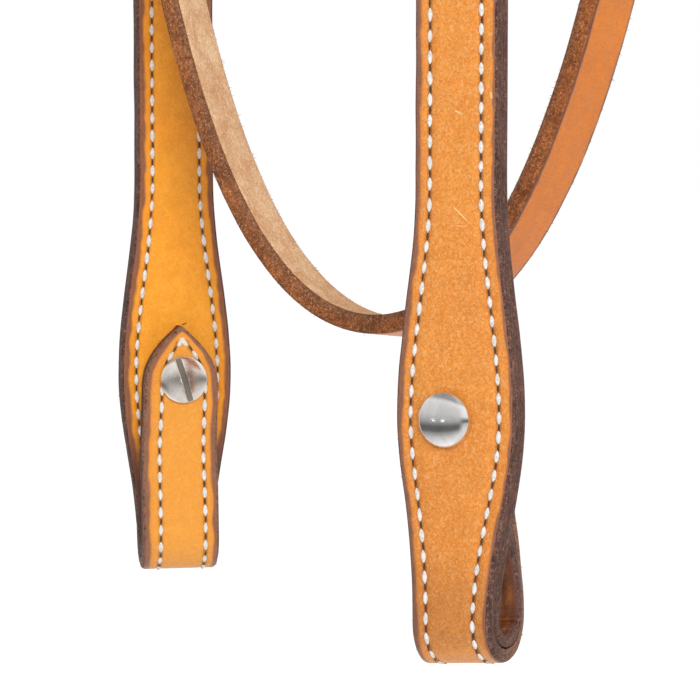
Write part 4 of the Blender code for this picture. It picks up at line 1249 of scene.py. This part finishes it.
throat_ply = 0.0038
throat_soft = 0.0007
throat_wander = 0.00018
throat_fuzz_density = 1200000.0
throat_fuzz_length = 0.0006
catenary_size = 0.02285
loop_half_span = 0.0455
loop_bottom_drop = 0.4615
loop_centre = (0.0060, 0.0041)
loop_plane_deg = 30.0
loop_points = 110
throat_lead_drop = 0.060
throat_lead_inward = {"left": 0.0018, "right": 0.0094}
throat_lead_backward = {"left": 0.0090, "right": -0.0065}
throat_lead_steps = 36
throat_roll_deg = {"left": 3.3, "right": 8.6}
throat_roll_length = 0.060
throat_skive_length = 0.020
throat_tail = 0.034

throat_grain = leather(
    "throat_grain", (0.90, 0.245, 0.008), (0.64, 0.16, 0.010), (0.17, 0.075, 0.055), 0.0009, 1.2, 0.3
)
throat_edge = cut_leather(
    "throat_edge", (0.42, 0.13, 0.034), (0.15, 0.045, 0.016), (0.76, 0.35, 0.15), 1.0, 0.75,
    (0.17, 0.085, 0.05), 2200.0, streak=0.3,
)
throat_flesh = cut_leather(
    "throat_flesh", (1.0, 0.66, 0.37), (0.74, 0.36, 0.15), (1.0, 0.98, 0.84), 0.9, 0.85, nap_scale=2000.0,
    rim=0.0005, streak=0.12,
)
throat_finishes = [throat_grain, throat_edge, throat_flesh]


def between(first, first_slope, last, last_slope, share):
    """A point on a smooth curve, whose slopes are how far it would go in the whole step."""
    rest = 1.0 - share
    way = first.lerp(last, ease(share))
    return way + first_slope * share * rest * rest - last_slope * share * share * rest


plane = math.radians(loop_plane_deg)
along = Vector((math.cos(plane), math.sin(plane), 0.0))
hung_across = Vector((0.0, 1.0, 0.0))
loop_across = up.cross(along)


def on_loop(u):
    rise = catenary_size * (math.cosh(u / catenary_size) - 1.0)
    return Vector((loop_centre[0], loop_centre[1], rise - loop_bottom_drop)) + along * u


leads = []
for side, sign in signs.items():
    hang = hangs[side, "throat"]
    end = on_loop(sign * loop_half_span)
    rising = (along * sign + up * math.sinh(loop_half_span / catenary_size)).normalized()
    top = hang.point(0.0, hang.bar_z - billet_tail - touch_gap)
    middle = hang.point(-throat_lead_inward[side], top.z - throat_lead_drop)
    middle.y += throat_lead_backward[side]
    climb = (top - end) / 2
    lower = (end, rising * (middle - end).length, middle, climb)
    upper = (middle, climb, top, up * (top - middle).length)
    lead = []
    for curve, turned_by, steps in (
        (lower, 0.0, shares(throat_lead_steps)), (upper, 0.5, shares(throat_lead_steps)[1:])
    ):
        for share in steps:
            across = loop_across.lerp(hung_across, ease(turned_by + share / 2)).normalized()
            lead.append((between(*curve, share), across))
    leads.append(lead)
swing = [blend(loop_half_span, -loop_half_span, share) for share in shares(loop_points)[1:-1]]
free = leads[0][::-1] + [(on_loop(u), loop_across) for u in swing] + leads[1]
free_places, free_plies = [], []
for i, (point, across) in enumerate(free):
    forward = (free[min(i + 1, len(free) - 1)][0] - free[max(i - 1, 0)][0]).normalized()
    across = (across - forward * across.dot(forward)).normalized()
    below = -throat_bar_drop - billet_tail - point.z
    roll = blend(throat_roll_deg["left"], throat_roll_deg["right"], i / (len(free) - 1))
    across.rotate(Quaternion(forward, math.radians(roll * ease(below / throat_roll_length))))
    free_places.append((point, across, forward.cross(across)))
    free_plies.append(blend(ply, throat_ply, ease(below / throat_skive_length)))
hung = []
for side in signs:
    hang = hangs[side, "throat"]
    path = eye_path(hang, throat_tail)
    straight = heights(path[-1][1], hang.bar_z - billet_tail, tail_step)[1:-1]
    hung.append(hang.places(path + [(0.0, z) for z in straight]))
throat_line = hung[0] + free_places + hung[1][::-1]
plies = [ply] * len(hung[0]) + free_plies + [ply] * len(hung[1])
throat = strap_piece(
    "throat_strap", throat_line, throat_width / 2, half_ply_gap, plies, throat_finishes,
    soft=throat_soft, back_soft=throat_soft, wander=throat_wander,
    fuzz=[float(thick > ply) for thick in plies],
)
punched(throat, [tongue_slot_cutter(hangs[side, "throat"], side + "_throat_slot") for side in signs])
grow("throat_fuzz", throat, "throatlatch", throat_fuzz_density, throat_fuzz_length, throat_edge)
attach(throat, "throatlatch")
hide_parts("throatlatch_strap")

# Buckles: four bent and welded frames of round stainless wire with a wire tongue hooked round
# the heel bar. The strap's folded end holds the heel bar, and the tongue comes out of its slot.

heel_corner = 0.0022
front_corner = 0.0050
tongue_past_bar = 0.0030
tongue_start_deg = 60.0
tongue_end_flat = 0.12
frame_sides = 18
frame_steps = (8, 4)
tongue_sides = 14
tongue_steps = (26, 6, 14)


def steel(name, colour, rough, scratch):
    """Polished stainless: bright metal with fine wear scratches and faint clouding."""
    made, tree, place, _ = new_look(name)
    haze = spots(tree, place, 320.0, 4.0, 0.6, 0.6)
    lines = spots(tree, place, (5200.0, 700.0, 420.0), 3.0, 1.4, 0.6)
    tone = mix(tree, ramp(tree, haze, 0.35, 0.65), tinted(colour, 0.86), colour)
    worn = ramp(tree, lines, 0.58, 0.72, rough, rough + scratch)
    shade(tree, tone, worn, bumped(tree, (lines, 0.06, 0.0001)), Metallic=1.0)
    return made


bright_steel = steel("polished_steel", (0.86, 0.85, 0.83), 0.11, 0.10)
worn_steel = steel("worn_steel", (0.93, 0.86, 0.79), 0.2, 0.16)
dull_steel = steel("dull_steel", (0.42, 0.36, 0.30), 0.5, 0.2)


def wire_piece(name, places, radii, sides, closed=False):
    """Round steel wire along (point, across, out) places, with a radius at each."""
    shape = bmesh.new()
    rings = [ring_of(shape, *place, radius, sides) for place, radius in zip(places, radii)]
    wrapped(shape, rings + rings[:1] if closed else rings, capped=not closed)
    return finished(name, shape, [bright_steel])


def rounded_outline(corners, facets, between_count):
    """Points and outward directions round a rectangle, from its corners as (u, v, radius)."""
    middle = [sum(corner[i] for corner in corners) / 4 for i in (0, 1)]
    outline = []
    for i, (u, v, radius) in enumerate(corners):
        arc_u = u - math.copysign(radius, u - middle[0])
        arc_v = v - math.copysign(radius, v - middle[1])
        for share in shares(facets):
            turn = (i + share) * math.pi / 2
            way = (math.cos(turn), math.sin(turn))
            outline.append(((arc_u + radius * way[0], arc_v + radius * way[1]), way))
    whole = []
    for i, (at, way) in enumerate(outline):
        whole.append((at, way))
        if i % (facets + 1) == facets:
            after = outline[(i + 1) % len(outline)][0]
            for share in shares(between_count)[1:-1]:
                whole.append(((blend(at[0], after[0], share), blend(at[1], after[1], share)), way))
    return whole


def laid_round(centre, axes, across, corners, facets, between_count):
    """Places round a rectangle that lies on two axes, all with the same across."""
    right, rise = axes
    return [
        (centre + right * u + rise * v, across, right * du + rise * dv)
        for (u, v), (du, dv) in rounded_outline(corners, facets, between_count)
    ]


for (side, kind), hang in hangs.items():
    half = hang.buckle_half + frame_side_gap + wire_radius
    heel, front = hang.point(0.0, hang.bar_z), hang.point(front_bar_out, hang.front_z)
    length, rise = (front - heel).length, (front - heel).normalized()
    across = hang.across(hang.bar_z)
    corners = [(half, length, front_corner), (-half, length, front_corner)]
    corners += [(-half, 0.0, heel_corner), (half, 0.0, heel_corner)]
    ring = laid_round(heel, (across, rise), across.cross(rise), corners, *frame_steps)
    radii = [wire_radius] * len(ring)
    buckle = wire_piece(f"{side}_{kind}_buckle_frame", ring, radii, frame_sides, closed=True)
    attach(buckle, hang.body)
    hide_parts(f"{side}_{kind}_buckle")

    eye, shank, blade = tongue_steps
    path = arc(0.0, hang.bar_z, tongue_reach, tongue_start_deg, tongue_heel_deg + 360.0, eye)
    path += [tuple(blend(a, b, share) for a, b in zip(hang.leave, hang.knee)) for share in shares(shank)[1:]]
    for share in shares(blade)[1:]:
        z = blend(hang.knee[1], hang.front_z + tongue_past_bar, share)
        path.append((blend(hang.knee[0], front_bar_out + tongue_reach, ease(share)), z))
    run = [0.0]
    for first, second in zip(path, path[1:]):
        run.append(run[-1] + math.dist(first, second))
    radii = []
    for at in run:
        to_end = 1.0 - min(min(at, run[-1] - at) / tongue_radius, 1.0)
        radii.append(tongue_radius * math.sqrt(max(1.0 - to_end**2, tongue_end_flat)))
    tongue = wire_piece(f"{side}_{kind}_tongue_wire", hang.places(path), radii, tongue_sides)
    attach(tongue, f"{side}_{kind}_tongue_wire")
    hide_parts(f"{side}_{kind}_tongue")

# Keepers: two leather loops below each buckle, bent round the strap and the billet's tail. The
# upper one is sewn in place behind the strap, and the lower one slides.

keeper_ply = 0.0017
keeper_height = 0.0080
keeper_play = 0.0005
keeper_drop = {"fixed": 0.023, "sliding": 0.046}
keeper_steps = (6, 7)
keeper_soft = 0.0005
keeper_back_soft = 0.0001
keeper_wander = 0.00006

for (side, kind), hang in hangs.items():
    for label, drop in keeper_drop.items():
        z = hang.bar_z - drop
        back = half_ply_gap if kind == "throat" and label == "sliding" else -doubled_half
        half, low = hang.buckle_half + keeper_play, back - keeper_play
        high = hang.over_strap + billet_ply / 2 + keeper_play
        corner = keeper_ply / 2
        corners = [(half, high, corner), (-half, high, corner), (-half, low, corner), (half, low, corner)]
        loop = laid_round(hang.point(0.0, z), (hang.across(z), hang.out(z)), up, corners, *keeper_steps)
        keeper = strap_piece(
            f"{side}_{kind}_{label}_loop", loop, keeper_height / 2, 0.0, keeper_ply,
            russet if kind == "cheek" else throat_finishes,
            closed=True, soft=keeper_soft, back_soft=keeper_back_soft, wander=keeper_wander,
        )
        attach(keeper, hang.body if label == "fixed" else f"{side}_{kind}_keeper_band")
        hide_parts(f"{side}_{kind}_{label}_keeper")

# Bit screws: a two-part post screw clamps each bit loop shut. The domed post is pushed through
# from the grain side, and the slotted screw turns into its bore from behind.

cap_radius = 0.0051
cap_dome = 0.0020
cap_lip = 0.0005
cap_rim = 0.00012
cap_undercut = 0.0001
post_radius = 0.0025
post_bore_radius = 0.0017
post_floor = 0.0010
post_short = 0.0006
shank_radius = 0.0013
head_radius = 0.0050
head_thickness = 0.0014
head_lip = 0.0004
head_sides = 72
cap_steps = 22
head_steps = 14
head_sharp_deg = 32.0
slot_width = 0.0012
slot_depth = 0.0007
slot_turn_deg = 17.0


def dome(radius, base, rise, steps):
    """Points of a lathe's profile from the top of a dome down to its rim."""
    turns = [share * math.pi / 2 for share in shares(steps)]
    return [(radius * math.sin(turn), base + rise * math.cos(turn)) for turn in turns]


def turned_piece(name, profile, centre, axis, finish):
    """A lathe-turned piece from (radius, height) points, the first and last on its axis."""
    across = axis.orthogonal().normalized()
    other = axis.cross(across)
    shape = bmesh.new()
    rings = [
        ring_of(shape, centre + axis * rise, across, other, radius, head_sides)
        for radius, rise in profile[1:-1]
    ]
    wrapped(shape, rings, capped=False)
    tips = [shape.verts.new(centre + axis * profile[i][1]) for i in (0, -1)]
    for i in range(head_sides):
        shape.faces.new((tips[0], rings[0][i - 1], rings[0][i]))
        shape.faces.new((tips[1], rings[-1][i], rings[-1][i - 1]))
    return finished(name, shape, [finish], head_sharp_deg)


for side in signs:
    hang = hangs[side, "cheek"]
    axis, aside = hang.out(screw_z), screw_shift(hang)
    stack = 2 * doubled_half - tab_out
    length = touch_gap + stack - post_short
    profile = dome(cap_radius, cap_lip, cap_dome, cap_steps)
    profile += [(cap_radius, cap_rim), (cap_radius - cap_undercut, 0.0), (post_radius, 0.0)]
    profile += [(post_radius, -length), (post_bore_radius, -length)]
    profile += [(post_bore_radius, -post_floor), (0.0, -post_floor)]
    seat = hang.point(doubled_half + touch_gap, screw_z) + aside
    post = turned_piece(side + "_bit_post_cap", profile, seat, axis, bright_steel)
    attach(post, side + "_cheek")
    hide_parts(side + "_bit_post")

    seat = hang.point(tab_out - doubled_half - touch_gap, screw_z) + aside
    shank = stack + touch_gap - post_floor
    profile = dome(head_radius, head_lip, head_thickness - head_lip, head_steps)
    profile += [(head_radius, 0.0), (shank_radius, 0.0), (shank_radius, -shank), (0.0, -shank)]
    screw = turned_piece(side + "_bit_screw_head", profile, seat, -axis, worn_steel)
    turn = math.radians(slot_turn_deg)
    slot_way = up * math.cos(turn) - hang.across(screw_z) * math.sin(turn)
    sides = (slot_way.cross(axis) * slot_width, slot_way * 3 * head_radius, axis * -2 * slot_depth)
    punched(screw, [box_cutter(side + "_driver_slot", seat - axis * head_thickness, sides, dull_steel)])
    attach(screw, side + "_bit_screw_turning")
    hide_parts(side + "_bit_screw")
